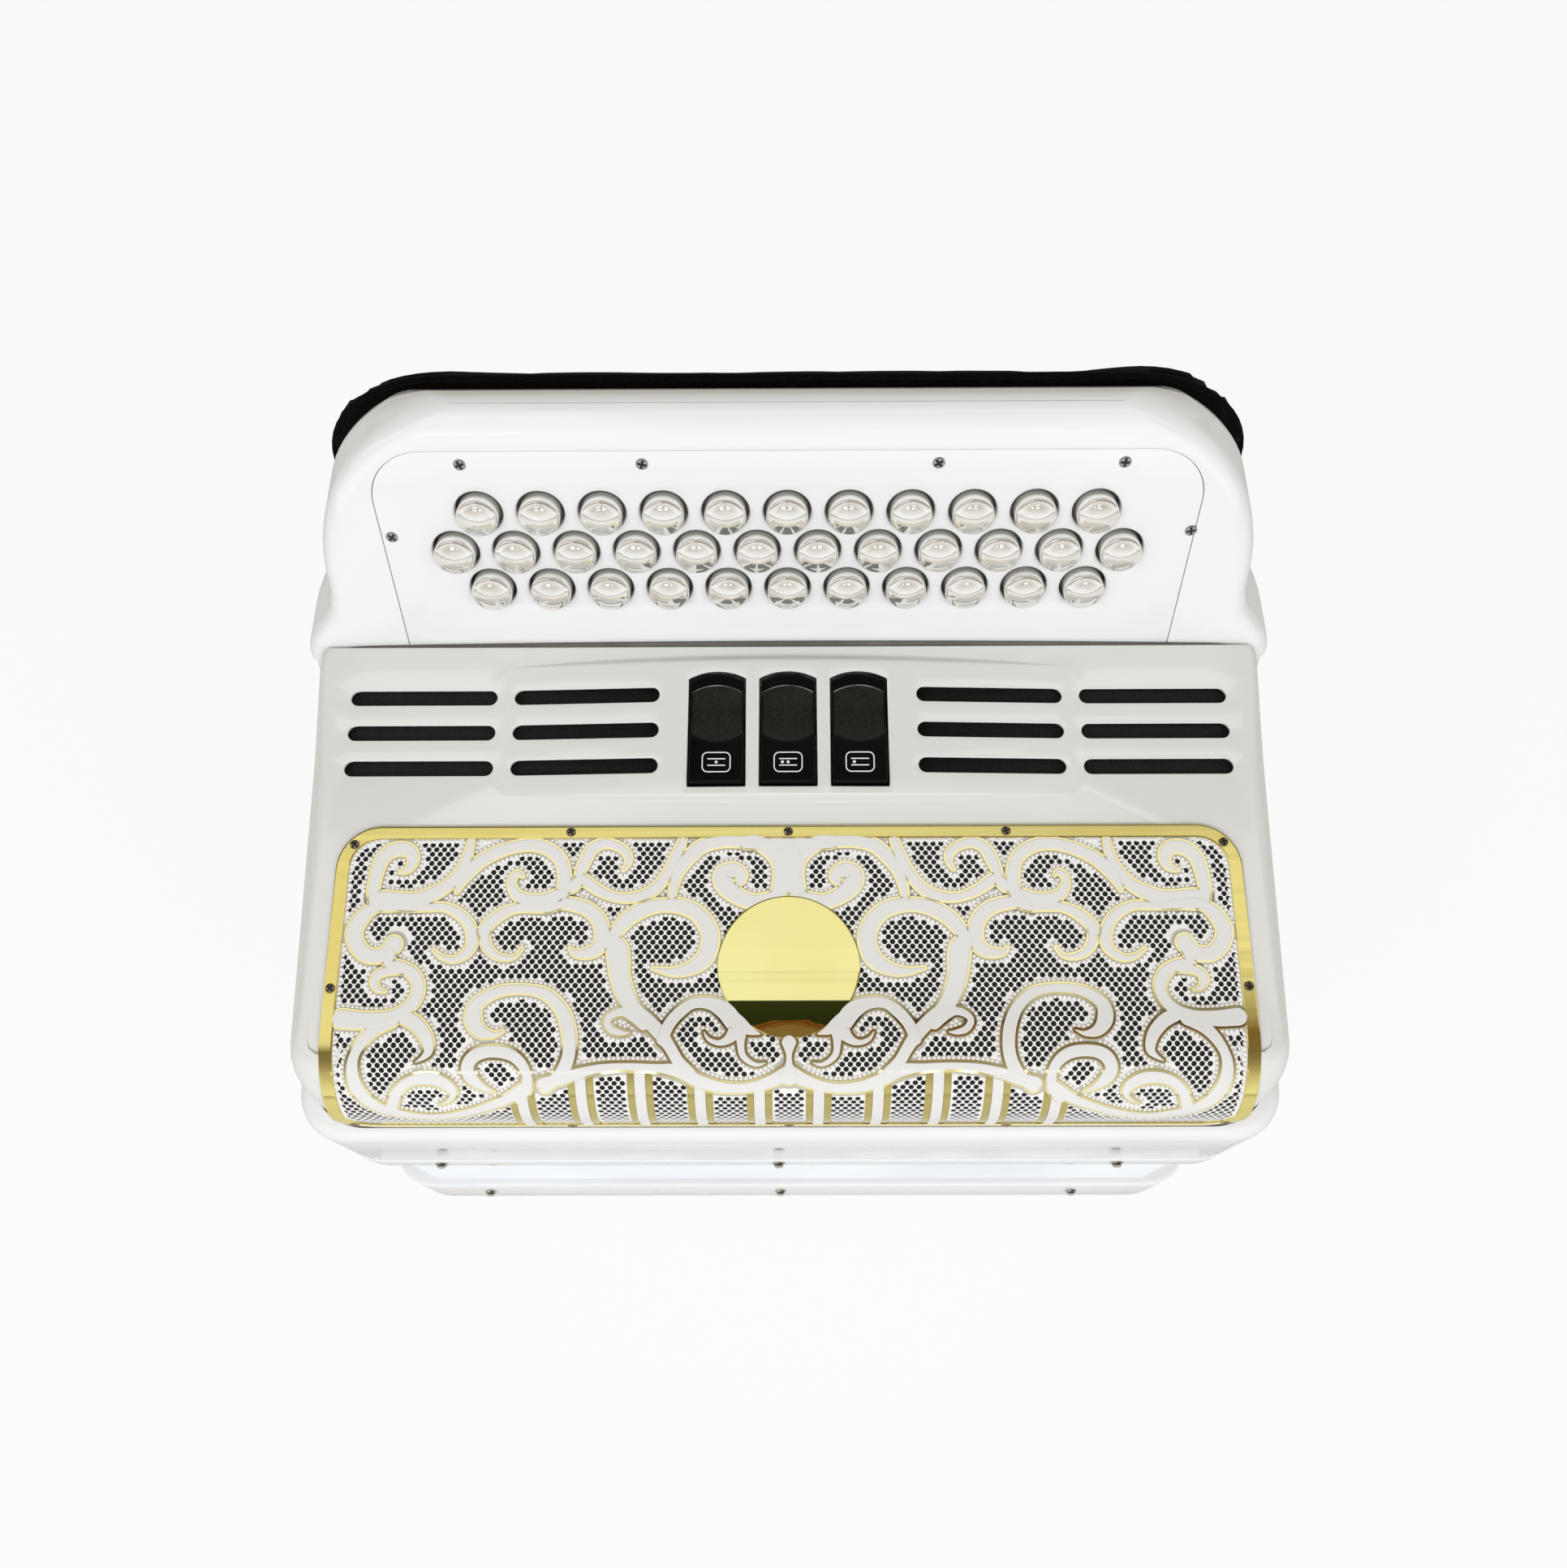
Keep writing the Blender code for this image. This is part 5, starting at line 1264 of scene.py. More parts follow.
def latticePoints():
    # hole centres in staggered rows
    g = grille
    across, down = np.arange(-60, 61) * g["holeAcross"], g["start"] + np.arange(1, 74) * g["holeDown"]
    x, d = np.meshgrid(across, down, indexing="ij")
    x = x + g["holeAcross"] / 2 * (np.arange(73) % 2)
    return np.stack([x.ravel(), d.ravel()], -1)


def domes(places, radius, low, lift, sides=8):
    # many small domes in one go, each a ring, a shoulder and a tip
    circle = circlePoints(0, 0, radius, sides)
    form = np.concatenate([circle, circle * 0.62, [[0, 0]]])
    lifts = np.repeat([low, low + (lift - low) * 0.78, lift], [sides, sides, 1])
    here = np.arange(sides)
    after = (here + 1) % sides
    quads = np.stack([here, after, after + sides, here + sides], -1)
    tips = np.stack([here + sides, after + sides, np.full(sides, 2 * sides)], -1)
    return copies(onPlate(places[:, None] + form, lifts), [quads, tips, here[::-1][None]])


def perforatedSheet(strokes):
    # lattice cells, each a ring of faces between its border and its hole; covered cells have no hole
    g = grille
    places = latticePoints()
    places = places[insideOutline(places, plateLoop(2.4, 2.4, 12))]
    x, d = places.T
    bars = np.abs(np.abs(x) % g["barPitch"] - g["barPitch"] / 2) < g["barWhite"] + g["barGold"] + 0.4
    bars &= (d > archLine(x)) & (np.abs(x) < 93)
    pierced = (clearance(places, strokes) > g["holeClear"]) & offDisc(places, -0.5) & ~bars
    pierced &= insideOutline(places, plateLoop(g["border"] + 0.9, g["lowBorder"] + 0.4, 11))
    circle = circlePoints(0, 0, 1, 12)
    # a cell reaches half a pitch left and right and half a row pair up and down, as a lozenge
    cell = circle / np.abs(circle / [g["holeAcross"] / 2, g["holeDown"]]).sum(1)[:, None]
    hole = circle * g["holeRadius"]
    low, high = g["sheetLift"] - g["sheetThick"], g["sheetLift"]
    form, lifts = np.concatenate([cell, hole, hole * 0.97]), np.repeat([high, high, low], 12)
    opened = copies(onPlate(places[pierced, None] + form, lifts), [gridFaces(3, 12, closeColumns=True)])
    shut = copies(onPlate(places[~pierced, None] + cell[::3], high), [np.arange(4)[None]])
    return joined(opened, shut)


def clothUnder():
    # each row across the plate is as long as the plate is there, inside its rounded corners
    g = grille
    d = np.linspace(g["start"] + 2, g["start"] + g["length"] - 2, 90)
    radius = g["corner"] - 2
    near = np.clip(radius - np.minimum(d - d[0], d[-1] - d), 0, radius)
    x = np.linspace(-1, 1, 40)[:, None] * (g["half"] - 2 - radius + np.sqrt(radius ** 2 - near ** 2))
    return gridShape(onPlate(np.stack(np.broadcast_arrays(x, d), -1), 0.34))


def plateBorder():
    # the gilt border: a tube of loops that goes in over its top from the plate's outer edge
    g = grille
    wide, low, corner, top = g["border"], g["lowBorder"], g["corner"], g["borderLift"]
    rows = [
        (0.0, 0.0, corner, 0.3), (0.0, 0.0, corner, top - 0.25), (0.1, 0.1, corner - 0.1, top - 0.07),
        (0.3, 0.3, corner - 0.3, top), (0.5, 0.5, corner - 0.5, top), (wide - 0.45, low - 0.45, 10.5, top),
        (wide - 0.25, low - 0.25, 10.3, top), (wide, low, 10, top - 0.1), (wide, low, 10, 0.35),
    ]
    return hoop([onPlate(plateLoop(*row), lift) for *row, lift in rows])


def beadPlaces(strokes):
    # beads at an even pitch along every stroke and along the border, dropped where a stroke covers them
    g = grille
    lines = [loop + normal * g["beadGap"] for loop, normal in map(strokeLoop, strokes)]
    lines.append(plateLoop(g["border"] + 0.75, g["lowBorder"] - 2, 9.5))
    found = []
    for line in lines:
        line = np.concatenate([line, line[:1]])
        length = lengthsAlong(line)
        found.append(pointsAt(line, length, np.arange(0, length[-1], g["beadPitch"])))
    places = np.concatenate(found)
    keep = (clearance(places, strokes) > g["beadGap"] - 0.22) & offDisc(places, 0.3)
    keep &= insideOutline(places, plateLoop(g["border"] + 0.5, g["lowBorder"] + 1, 9.5))
    keep &= (places[:, 1] < archLine(places[:, 0])) | (np.abs(places[:, 0]) > 92)
    places = places[keep]
    near = np.linalg.norm(places[:, None] - places[None], axis=2) < g["beadPitch"] * 0.72
    return places[~np.tril(near, -1).any(1)]


def discShape():
    edge = grille["discRadius"]
    r = np.array([0.0, 6, 12, 17, 20, edge - 0.5, edge - 0.35, edge - 0.1, edge, edge])
    drop = np.array([0.0, 0, 0, 0, 0, 0, 0, 0.06, 0.2, 0.8])
    flat = r[:, None, None] * circlePoints(0, 0, 1, 96) + [0, grille["discPlace"]]
    return outward(gridShape(onPlate(flat, (grille["discLift"] - drop)[:, None]), closeColumns=True))


def barShapes():
    # upright bars below the rail: a white one between two gilt ones
    g = grille
    white, gold = [], []
    near, far = g["barWhite"], g["barWhite"] + g["barGold"]
    whiteLift, goldLift = g["scrollLift"] - 0.12, g["goldLift"] - 0.25
    bars = ((-near, near, whiteLift, white), (-far, -near, goldLift, gold), (near, far, goldLift, gold))
    for number in range(-g["barCount"], g["barCount"]):
        center = (number + 0.5) * g["barPitch"]
        d = np.linspace(float(archLine(center)) - 0.5, g["start"] + g["length"] - g["lowBorder"] + 0.2, 40)
        for left, right, lift, made in bars:
            x = center + np.array([left, left, left + 0.15, right - 0.15, right, right])
            lifts = np.array([0.6, lift - 0.15, lift, lift, lift - 0.15, 0.6])
            flat = np.stack(np.meshgrid(x, d, indexing="ij"), -1)
            made.append(gridShape(onPlate(flat, lifts[:, None]), closeRows=True))
    return joined(*white), joined(*gold)


def screwHead(radius, height):
    # a low round head with a cross cut in it: the cut lowers the points near two crossed lines
    r = np.array([0.0, 0.12, 0.24, 0.36, 0.48, 0.6, 0.75, 0.88, 0.96, 1.0, 1.0]) * radius
    z = np.array([1, 1, 0.99, 0.97, 0.94, 0.9, 0.8, 0.62, 0.4, 0.15, -0.6]) * height
    flat = r[:, None, None] * circlePoints(0, 0, 1, 48)
    away = np.abs(flat)
    cut = (away.min(-1) < radius * 0.17) & (away.max(-1) < radius * 0.66)
    points = flatSpace(flat[..., 0], flat[..., 1], z[:, None] - cut * height * 0.9)
    return outward(gridShape(points, closeColumns=True))


def screwCrossShade(radius, height):
    # painted shade: a black floor in the cross, a little above the recess that the head has there, for the shade down
    # in the cut
    arm, half = radius * 0.60, radius * 0.14
    right = [(half, half), (half, arm), (-half, arm), (-half, half), (-arm, half), (-arm, -half)]
    outline = np.array(right + [(-x, -y) for x, y in right])
    return platePart(outline, [], height * 0.86, height * 0.3, 0.00001, flatSpace)


def screws(name, size, metal, places):
    # cross-head screws of one size (radius, rise), and black floors in their crosses as painted shade of the cuts
    head, cross = screwHead(*size), screwCrossShade(*size)
    addPiece(name + "s", joined(*[moved(head, place) for place in places]), metal, trebleBody, smooth=40)
    addPiece(name + "CrossShades", joined(*[moved(cross, place) for place in places]), paintedShadeBlack, trebleBody)


def plateMatrix(x, d, lift, spin):
    # stands a small part on the plate: Z along the cover's normal
    here = onPlate((x, d), lift)
    out = onPlate((x, d), lift + 1.0) - here
    down = np.cross(out, (1.0, 0, 0))
    out, down = out / np.linalg.norm(out), down / np.linalg.norm(down)
    turn = Matrix(((1, down[0], out[0]), (0, down[1], out[1]), (0, down[2], out[2]))).to_4x4()
    return Matrix.Translation(here) @ turn @ Matrix.Rotation(spin, 4, "Z")


def grillePieces():
    g = grille
    strokes = mirroredStrokes()
    body = trebleBody
    addPiece("grilleBorder", plateBorder(), goldPlate, body, ("grille_plate",), weld=False)
    cloth = addPiece("grilleCloth", clothUnder(), clothBlack, body)
    addPiece("grilleSheet", perforatedSheet(strokes), sheetWhite, body, smooth=20, weld=False)
    # where strokes overlap, their level tops lie at different heights
    names = list(scrolls)
    names += [name for name, stroke in zip(names, strokes) if offAxis(stroke)]
    low, gold, wide, band = g["sheetLift"] - 0.1, g["goldLift"], g["edgeWidth"], g["bandLift"]
    edging = [(-0.2, low), (-0.15, gold), (wide - 0.02, gold), (wide, gold - 0.06), (wide, low)]
    # the band under the beads is grey as painted shade between the beads
    border = [(0.0, low), (0.0, band), (g["beadGap"] + 0.35, band), (g["beadGap"] + 0.5, low)]
    tops, edges, bands = [], [], []
    for number, (name, stroke) in enumerate(zip(names, strokes)):
        over = name.startswith(("lyre", "bowtie"))
        tops.append(scrollTop(stroke, g["scrollLift"] + 0.08 * (number * 0.618 % 1) + g["overDisc"] * over))
        line = strokeLoop(stroke)
        edges.append(ridge(*line, edging))
        bands.append(ridge(*line, border))
    addPiece("grilleScrolls", joined(*tops), grilleWhite, body, smooth=50, weld=False)
    addPiece("grilleEdging", joined(*edges), goldEdge, body, smooth=50, weld=False)
    addPiece("grilleBands", joined(*bands), beadShadeGrey, body, smooth=50, weld=False)
    places = beadPlaces(strokes)
    beads = domes(places, g["beadRadius"], low, g["beadLift"])
    addPiece("grilleBeads", beads, beadWhite, body, smooth=60, weld=False)
    print("beads:", len(places))
    addPiece("goldDisc", discShape(), goldDisc, body)
    white, gilded = barShapes()
    addPiece("grilleBars", white, grilleWhite, body)
    addPiece("grilleGiltBars", gilded, goldBar, body)
    spots = [plateMatrix(*spot, g["borderLift"], 0.5 + number * 0.7) for number, spot in enumerate(g["screws"])]
    screws("grilleScrew", (0.0016, 0.0005), screwNickel, spots)


# Frames and bellows

def bandShape(low, high, proud, depth, edge):
    # a frame: a rounded rectangle of loops that go up outside and come back down inside
    rows = [(proud - edge * (1 - math.sin(t)), low + edge * (1 - math.cos(t))) for t in quarter(4)]
    rows += [(proud - edge * (1 - math.cos(t)), high - edge * (1 - math.sin(t))) for t in quarter(4)]
    loops = []
    for margin, z in rows + [(-depth, high), (-depth, low)]:
        loops.append(atHeight(boxLoop(-margin, box["corner"] + margin, shell["backCorner"] + margin), z))
    return hoop(loops)


bellows = {
    "folds": 16, "depth": 0.016, "crease": 0.0012, "inset": 0.003, "corner": 0.016, "wall": 0.004,
    "low": 0.0923, "high": 0.1567,
}


def bellowsPiece():
    # a zigzag tube with cut corners: each level is out on a fold's edge or in between two folds
    b, cut, loops = bellows, bellows["corner"], []
    for number, z in enumerate(np.linspace(b["low"], b["high"], 4 * b["folds"] + 1)):
        drawn = b["inset"] + (0.0, b["crease"], b["depth"], b["crease"])[number % 4]
        half, front, back = box["halfWidth"] - drawn, box["front"] + drawn, box["back"] - drawn
        right = np.array([(half - cut, front), (half, front + cut), (half, back - cut), (half - cut, back)])
        loops.append(atHeight(np.concatenate([right, right[::-1] * [-1, 1]]), z))
    inner = np.array(loops[::-1])
    middle = (box["front"] + box["back"]) / 2
    inner[..., :2] -= np.sign(inner[..., :2] - [0, middle]) * b["wall"]
    shape = hoop(np.concatenate([loops, inner]))
    piece = addPiece("bellowsFolds", shape, bellowsWhite, None, ("bellows",), smooth=20)
    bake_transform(piece)


# Screws of the button plate and the domed pins of the bellows frames

plateScrews = {
    "size": (0.00195, 0.00045),
    "places": (
        (-0.1005, 0.0172), (-0.0445, 0.0172), (0.0465, 0.0172), (0.1035, 0.0172),
        (-0.1268, -0.0088), (0.1288, -0.0075),
    ),
}
pins = {"radius": 0.0018, "sunk": 0.0003, "x": (-0.1288, -0.0040, 0.1208), "trebleZ": 0.1622, "bassZ": 0.0755}


def plateScrewPieces():
    spots = []
    for number, (x, up) in enumerate(plateScrews["places"]):
        spin = Matrix.Rotation(0.4 + number * 0.9, 4, "Z")
        spots.append(boardMatrix() @ Matrix.Translation((x, up, 0.0)) @ spin)
    screws("plateScrew", plateScrews["size"], screwBlack, spots)


def pinPieces():
    # each a flat collar, a neck and a dome, in front and behind
    r = pins["radius"]
    dome = [(r * math.sin(t), 0.0009 + r * 0.55 * math.cos(t)) for t in quarter(6)]
    collar = [(r * 0.9, 0.0007), (r * 1.3, 0.0005), (r * 1.35, 0.0002), (r * 1.35, -0.0012), (0, -0.0012)]
    pin = turned(dome + collar, 32)
    sides = ((box["front"] - pins["sunk"], math.pi / 2), (box["back"] + pins["sunk"], -math.pi / 2))
    for name, body, z in (("treblePins", trebleBody, pins["trebleZ"]), ("bassPins", bassBody, pins["bassZ"])):
        spots = [(Matrix.Translation((x, y, z)), turn) for x in pins["x"] for y, turn in sides]
        shapes = [moved(pin, place @ Matrix.Rotation(turn, 4, "X")) for place, turn in spots]
        addPiece(name, joined(*shapes), pinChrome, body)


# Bass side: a rounded box under its frame, with a hand space behind a slanted button panel

bass = {
    "frameLow": 0.058, "frameTop": 0.092, "inset": 0.007, "edge": 0.012, "corner": 0.016, "low": 0.0083,
    "handHalf": 0.118, "panelLow": (0.0150, 0.008), "panelHigh": (0.0400, 0.046), "columns": 6,
    "pitch": 0.020, "shift": 0.012, "rows": (0.0125, 0.0285), "hole": 0.0058, "holeDepth": 0.0205,
    "airX": -0.088, "airHole": 0.0079,
}
bassButton = {"radius": 0.005, "rise": 0.006, "crown": 0.0009, "edge": 0.0009, "length": 0.015, "stem": 0.002}
airButton = {**bassButton, "radius": 0.007}


def panelMatrix(x, up):
    # a place on the slanted panel: X to the left seen from behind, Y up the panel and Z out of it
    (lowY, lowZ), (highY, highZ) = bass["panelLow"], bass["panelHigh"]
    along = Vector((0, highY - lowY, highZ - lowZ)).normalized()
    out = Vector((0, along.z, -along.y))
    turn = Matrix(((-1, 0, 0), (0, along.y, out.y), (0, along.z, out.z))).to_4x4()
    return Matrix.Translation((0, lowY, lowZ)) @ turn @ Matrix.Translation((-x, up, 0))


def bassPlaces():
    places = []
    for row, up in enumerate(bass["rows"]):
        for column in range(bass["columns"]):
            shift = (0.25 if row else -0.25) * bass["pitch"] + bass["shift"]
            places.append((row + 1, column + 1, (column - 2.5) * bass["pitch"] + shift, up))
    return places


def airPlace():
    return bass["airX"], sum(bass["rows"]) / 2


def bassShell():
    b = bass
    levels = []
    for t in quarter(7):
        levels.append((b["low"] + b["edge"] * (1 - math.cos(t)), b["inset"] + b["edge"] * (1 - math.sin(t))))
    levels += [(0.040, b["inset"]), (b["frameLow"] + 0.004, b["inset"])]
    corners, steps = [b["corner"]] * 2, {"corner": 8, "side": 16, "face": 36}
    outer = [atHeight(boxLoop(inset, *corners, **steps), z) for z, inset in levels]
    piece = addPiece("bassShell", capped(np.array(outer)), shellWhite, bassBody, ("bass_case",))
    # the hand space goes on past the case, behind and below
    (lowY, lowZ), (highY, highZ), past = b["panelLow"], b["panelHigh"], 0.02
    lean = (highY - lowY) / (highZ - lowZ)
    rear, floor = box["back"] + past, lowZ - past
    side = np.array([(lowY - lean * past, floor), (highY, highZ), (rear, highZ), (rear, floor)])
    space = [np.column_stack([np.full(4, x), side]) for x in (-b["handHalf"], b["handHalf"])]
    holes = []
    for x, up, r in [(x, up, b["hole"]) for _, _, x, up in bassPlaces()] + [(*airPlace(), b["airHole"])]:
        deep = -b["holeDepth"]
        form = turned([(0, 0.002), (r + 0.0016, 0.002), (r + 0.0007, 0.0), (r, -0.0007), (r, deep), (0, deep)], 32)
        holes.append(moved(form, panelMatrix(x, up)))
    cutBy(piece, [capped(np.array(space)), joined(*holes)], smooth=32)
    frameShape = bandShape(b["frameLow"], b["frameTop"], 0.0, 0.012, 0.0016)
    addPiece("bassFrame", frameShape, shellWhite, bassBody)


def bassButtons():
    shape = turned(buttonProfile(**bassButton), 32)
    for row, column, x, up in bassPlaces():
        node = f"bass_button_{row}_{column}"
        here = moved(shape, panelMatrix(x, up))
        addPiece(f"bassButton{row}x{column}", here, pearlWhite, node, (node,))
    here = moved(turned(buttonProfile(**airButton), 40), panelMatrix(*airPlace()))
    addPiece("airButton", here, screwNickel, "air_button", ("air_button",))


# Bottom plate with sound slots, its feet, and the hand strap

bottom = {
    "half": 0.146, "front": -0.090, "back": 0.076, "corner": 0.016, "low": 0.0052, "top": 0.0080,
    "pitch": 0.034, "slots": 7, "slotHalf": 0.0035, "slotReach": 0.033, "clothHalf": 0.112, "clothReach": 0.038,
    "footX": 0.136, "footY": (-0.086, 0.066),
}


def bassBottom():
    g = bottom
    inner, lowY = bass["handHalf"], bass["panelLow"][0] - 0.004
    corner = arcPoints(g["half"] - g["corner"], g["front"] + g["corner"], g["corner"], -90, 0, 10)
    right = np.concatenate([corner, [[g["half"], g["back"]], [inner, g["back"]], [inner, lowY]]])
    outline = np.concatenate([right, right[::-1] * [-1, 1]])
    middle = (g["front"] + lowY) / 2 - 0.002
    low, high = middle - g["slotReach"], middle + g["slotReach"]
    slot = evenLoop(g["slotHalf"], low, high, g["slotHalf"] - 0.0001, corner=6, side=1, face=1)
    holes = [slot + [(index - (g["slots"] - 1) / 2) * g["pitch"], 0] for index in range(g["slots"])]
    shape = platePart(outline, holes, -g["low"], -g["top"], 0.0005, lambda x, y, z: flatSpace(x, y, -z))
    addPiece("bassBottom", turnedOver(shape), coverWhite, bassBody, ("bass_cover",))
    foot = turned([(0, 0), (0.0080, 0), (0.0088, 0.0004), (0.0092, 0.0012), (0.0108, 0.0056), (0, 0.0056)], 40)
    feet = [moved(foot, Matrix.Translation((x, y, 0))) for x in (-g["footX"], g["footX"]) for y in g["footY"]]
    addPiece("bassFeet", joined(*feet), footRubber, bassBody)
    across = np.linspace(-g["clothHalf"], g["clothHalf"], 30)
    along = np.linspace(middle - g["clothReach"], middle + g["clothReach"], 12)
    grid = flatSpace(*np.meshgrid(across, along, indexing="ij"), g["top"] + 0.00012)
    cloth = addPiece("bassCloth", gridShape(grid), clothBlack, bassBody)


strap = {
    "y": 0.0800, "z": 0.0260, "half": 0.021, "thick": 0.0030, "bow": 0.009, "tilt": math.radians(60),
    "reach": 0.1175, "narrowing": 0.22, "seam": 0.84, "stitchPitch": 0.0042,
}


def strapHalf(x):
    # half the band's width, which narrows near its ends
    return strap["half"] * (1 - strap["narrowing"] * smoothStep((np.abs(x) - 0.085) / 0.030))


def strapPoint(x, across, lift):
    # along X the band bows out by a squared cosine; across it lies at the strap's tilt
    g = strap
    bow = g["bow"] * np.cos(np.pi * x / (2 * g["reach"])) ** 2 + lift
    y = g["y"] + across * math.cos(g["tilt"]) + bow * math.sin(g["tilt"])
    z = g["z"] + across * math.sin(g["tilt"]) - bow * math.cos(g["tilt"])
    return flatSpace(x, y, z)


def handStrap():
    # across the band its thickness falls off at the edges and is drawn in along a seam
    g = strap
    t = np.linspace(-1, 1, 33)
    drawn = 1 - 0.35 * np.exp(-((np.abs(t) - g["seam"]) / 0.035) ** 2)
    swell = g["thick"] / 2 * np.sqrt(np.clip(1 - np.abs(t) ** 6, 0, 1)) * drawn
    x, across = np.meshgrid(np.linspace(-g["reach"], g["reach"], 90), t, indexing="ij")
    across = across * strapHalf(x)
    upper, lower = strapPoint(x, across, swell), strapPoint(x, across[:, ::-1], -swell[::-1])
    shape = capped(np.concatenate([upper, lower[:, 1:-1]], 1))
    addPiece("handStrap", shape, strapLeather, bassBody, ("hand_strap",), smooth=60)
    stitches = joined(*[stitchRow(side, face) for side in (-g["seam"], g["seam"]) for face in (1, -1)])
    addPiece("strapStitches", stitches, threadGrey, bassBody, smooth=60)


def stitchRow(side, face):
    # short stitches at an even pitch, each a small lozenge standing just proud of the seam
    g = strap
    x = np.arange(-g["reach"] + 0.004, g["reach"] - 0.004, g["stitchPitch"])[:, None]
    along, out, rise = np.array([
        (-0.0014, 0, 0), (-0.0008, -0.0003, 0), (0.0008, -0.0003, 0), (0.0014, 0, 0),
        (0.0008, 0.0003, 0), (-0.0008, 0.0003, 0), (0, 0, 0.0003),
    ]).T
    points = strapPoint(x + along, side * strapHalf(x) + out, face * (g["thick"] / 2 * 0.72 + rise))
    here = np.arange(6)
    shape = copies(points, [np.stack([here, (here + 1) % 6, np.full(6, 6)], -1), here[::-1][None]])
    return shape if face > 0 else turnedOver(shape)


# Back pad: a cushion on the treble case's rear, its filling settled by a short cloth simulation

pad = {
    "half": 0.1525, "low": 0.1770, "top": 0.3420, "corner": 0.045, "base": 0.0974, "farthest": 0.1110,
    "profile": (
        (0.03, 0.0), (0.008, 0.0), (0.0, 0.001), (0.0, 0.0055), (0.0012, 0.0078), (0.0040, 0.0094),
        (0.010, 0.0104), (0.025, 0.0112), (0.070, 0.0116),
    ),
    "voxel": 0.0045, "pressure": 4.0, "steps": 20, "mostShift": 0.004, "cord": 0.0010, "cordPlace": 0.0030,
}


def padOutline(**steps):
    return evenLoop(pad["half"], pad["low"], pad["top"], pad["corner"], **steps)


def padShape():
    # loops from the flat back face, round the edge and in over the crown
    middle = (pad["low"] + pad["top"]) / 2
    x, z = padOutline(corner=10, side=20, face=40).T
    loops = []
    for inset, rise in pad["profile"]:
        reachX, reachZ = 1 - inset / pad["half"], 1 - inset / (pad["top"] - middle)
        loops.append(flatSpace(x * reachX, pad["base"] + rise, middle + (z - middle) * reachZ))
    return capped(np.array(loops))


def pointsOf(piece):
    points = np.empty(len(piece.data.vertices) * 3)
    piece.data.vertices.foreach_get("co", points)
    return points.reshape(-1, 3)


def backPad():
    piece = addPiece("backPad", padShape(), padVelvet, trebleBody, ("back_pad",), smooth=60)
    remesh = piece.modifiers.new("even", "REMESH")
    remesh.mode = "VOXEL"
    remesh.voxel_size = pad["voxel"]
    finished(piece, 60)
    before = pointsOf(piece)
    cloth = piece.modifiers.new("filling", "CLOTH")
    cloth.settings.use_pressure = True
    cloth.settings.uniform_pressure_force = pad["pressure"]
    cloth.settings.effector_weights.gravity = 0.0
    for step in range(pad["steps"]):
        bpy.context.scene.frame_set(step + 1)
    finished(piece, 60)
    shift = pointsOf(piece) - before
    size = np.linalg.norm(shift, axis=1)[:, None]
    points = before + shift * np.minimum(1, pad["mostShift"] / np.maximum(size, 1e-9))
    points[:, 1] = np.clip(points[:, 1], pad["base"], pad["farthest"])
    # drawn out again to the seam of its cover
    points[:, 0] *= pad["half"] / np.abs(points[:, 0]).max()
    points[:, 2] = np.interp(points[:, 2], [points[:, 2].min(), points[:, 2].max()], [pad["low"], pad["top"]])
    piece.data.vertices.foreach_set("co", points.ravel())
    bpy.context.scene.frame_set(1)
    # the sewn cord round the pad's edge
    outline = padOutline(corner=14, side=30, face=60)
    center, radius = (0.0, pad["base"] + pad["cordPlace"]), (pad["cord"], pad["cord"])
    cord = tube(outline, sideways(outline, True), center, radius, 8)[..., [0, 2, 1]]
    addPiece("padCord", hoop(cord), padVelvet, trebleBody, smooth=60)


print("treble side")
trebleShell()
buttonBoard()
trebleButtons()
coverPiece()
boardGapShade()
coverGrooveShade()
soundCloths()
switchPieces()
grillePieces()
print("bellows and frames")
addPiece("trebleFrame", bandShape(0.157, 0.1681, 0.0003, 0.010, 0.0012), shellWhite, trebleBody)
bellowsPiece()
plateScrewPieces()
pinPieces()
print("bass side")
bassShell()
bassButtons()
bassBottom()
handStrap()
print("back pad")
backPad()


# Room: a pale floor, soft lights and the camera

def mathNode(tree, operation, first, second):
    node = tree.nodes.new("ShaderNodeMath")
    node.operation = operation
    for socket, value in zip(node.inputs, (first, second)):
        if isinstance(value, float):
            socket.default_value = value
        else:
            tree.links.new(value, socket)
    return node.outputs[0]


def rangeNode(tree, value, low, high):
    node = tree.nodes.new("ShaderNodeMapRange")
    node.inputs["From Min"].default_value = low
    node.inputs["From Max"].default_value = high
    tree.links.new(value, node.inputs["Value"])
    return node.outputs["Result"]


def mixShaders(tree, factor, first, second):
    node = tree.nodes.new("ShaderNodeMixShader")
    for socket, value in zip(node.inputs, (factor, first, second)):
        tree.links.new(value, socket)
    return node.outputs[0]


def floorPiece():
    # matt, and almost white for the camera
    size = 4.0
    corners = np.array([(-size, -size), (size, -size), (size, size), (-size, size)])
    material, tree, shader, _ = surface("paleFloor", gray(0.78), 0.9, [])
    glow = tree.nodes.new("ShaderNodeEmission").outputs["Emission"]
    rays = tree.nodes.new("ShaderNodeLightPath")
    share = mathNode(tree, "MULTIPLY", rays.outputs["Is Camera Ray"], 0.90)
    mixed = mixShaders(tree, share, shader.outputs["BSDF"], glow)
    tree.links.new(mixed, tree.nodes["Material Output"].inputs["Surface"])
    floor = addPiece("paleFloor", (atHeight(corners, 0.0), [np.arange(4)[None]]), material, None)


def addLamp(name, place, target, size, power):
    lamp = bpy.data.lights.new(name, "AREA")
    lamp.shape = "RECTANGLE"
    lamp.size, lamp.size_y = size
    lamp.energy = power
    item = addItem(name, lamp)
    item.location = place
    item.rotation_euler = (Vector(target) - Vector(place)).to_track_quat("-Z", "Y").to_euler()
    # gloss mirrors the room only, whose bright strip stands for the lamps
    item.visible_glossy = False


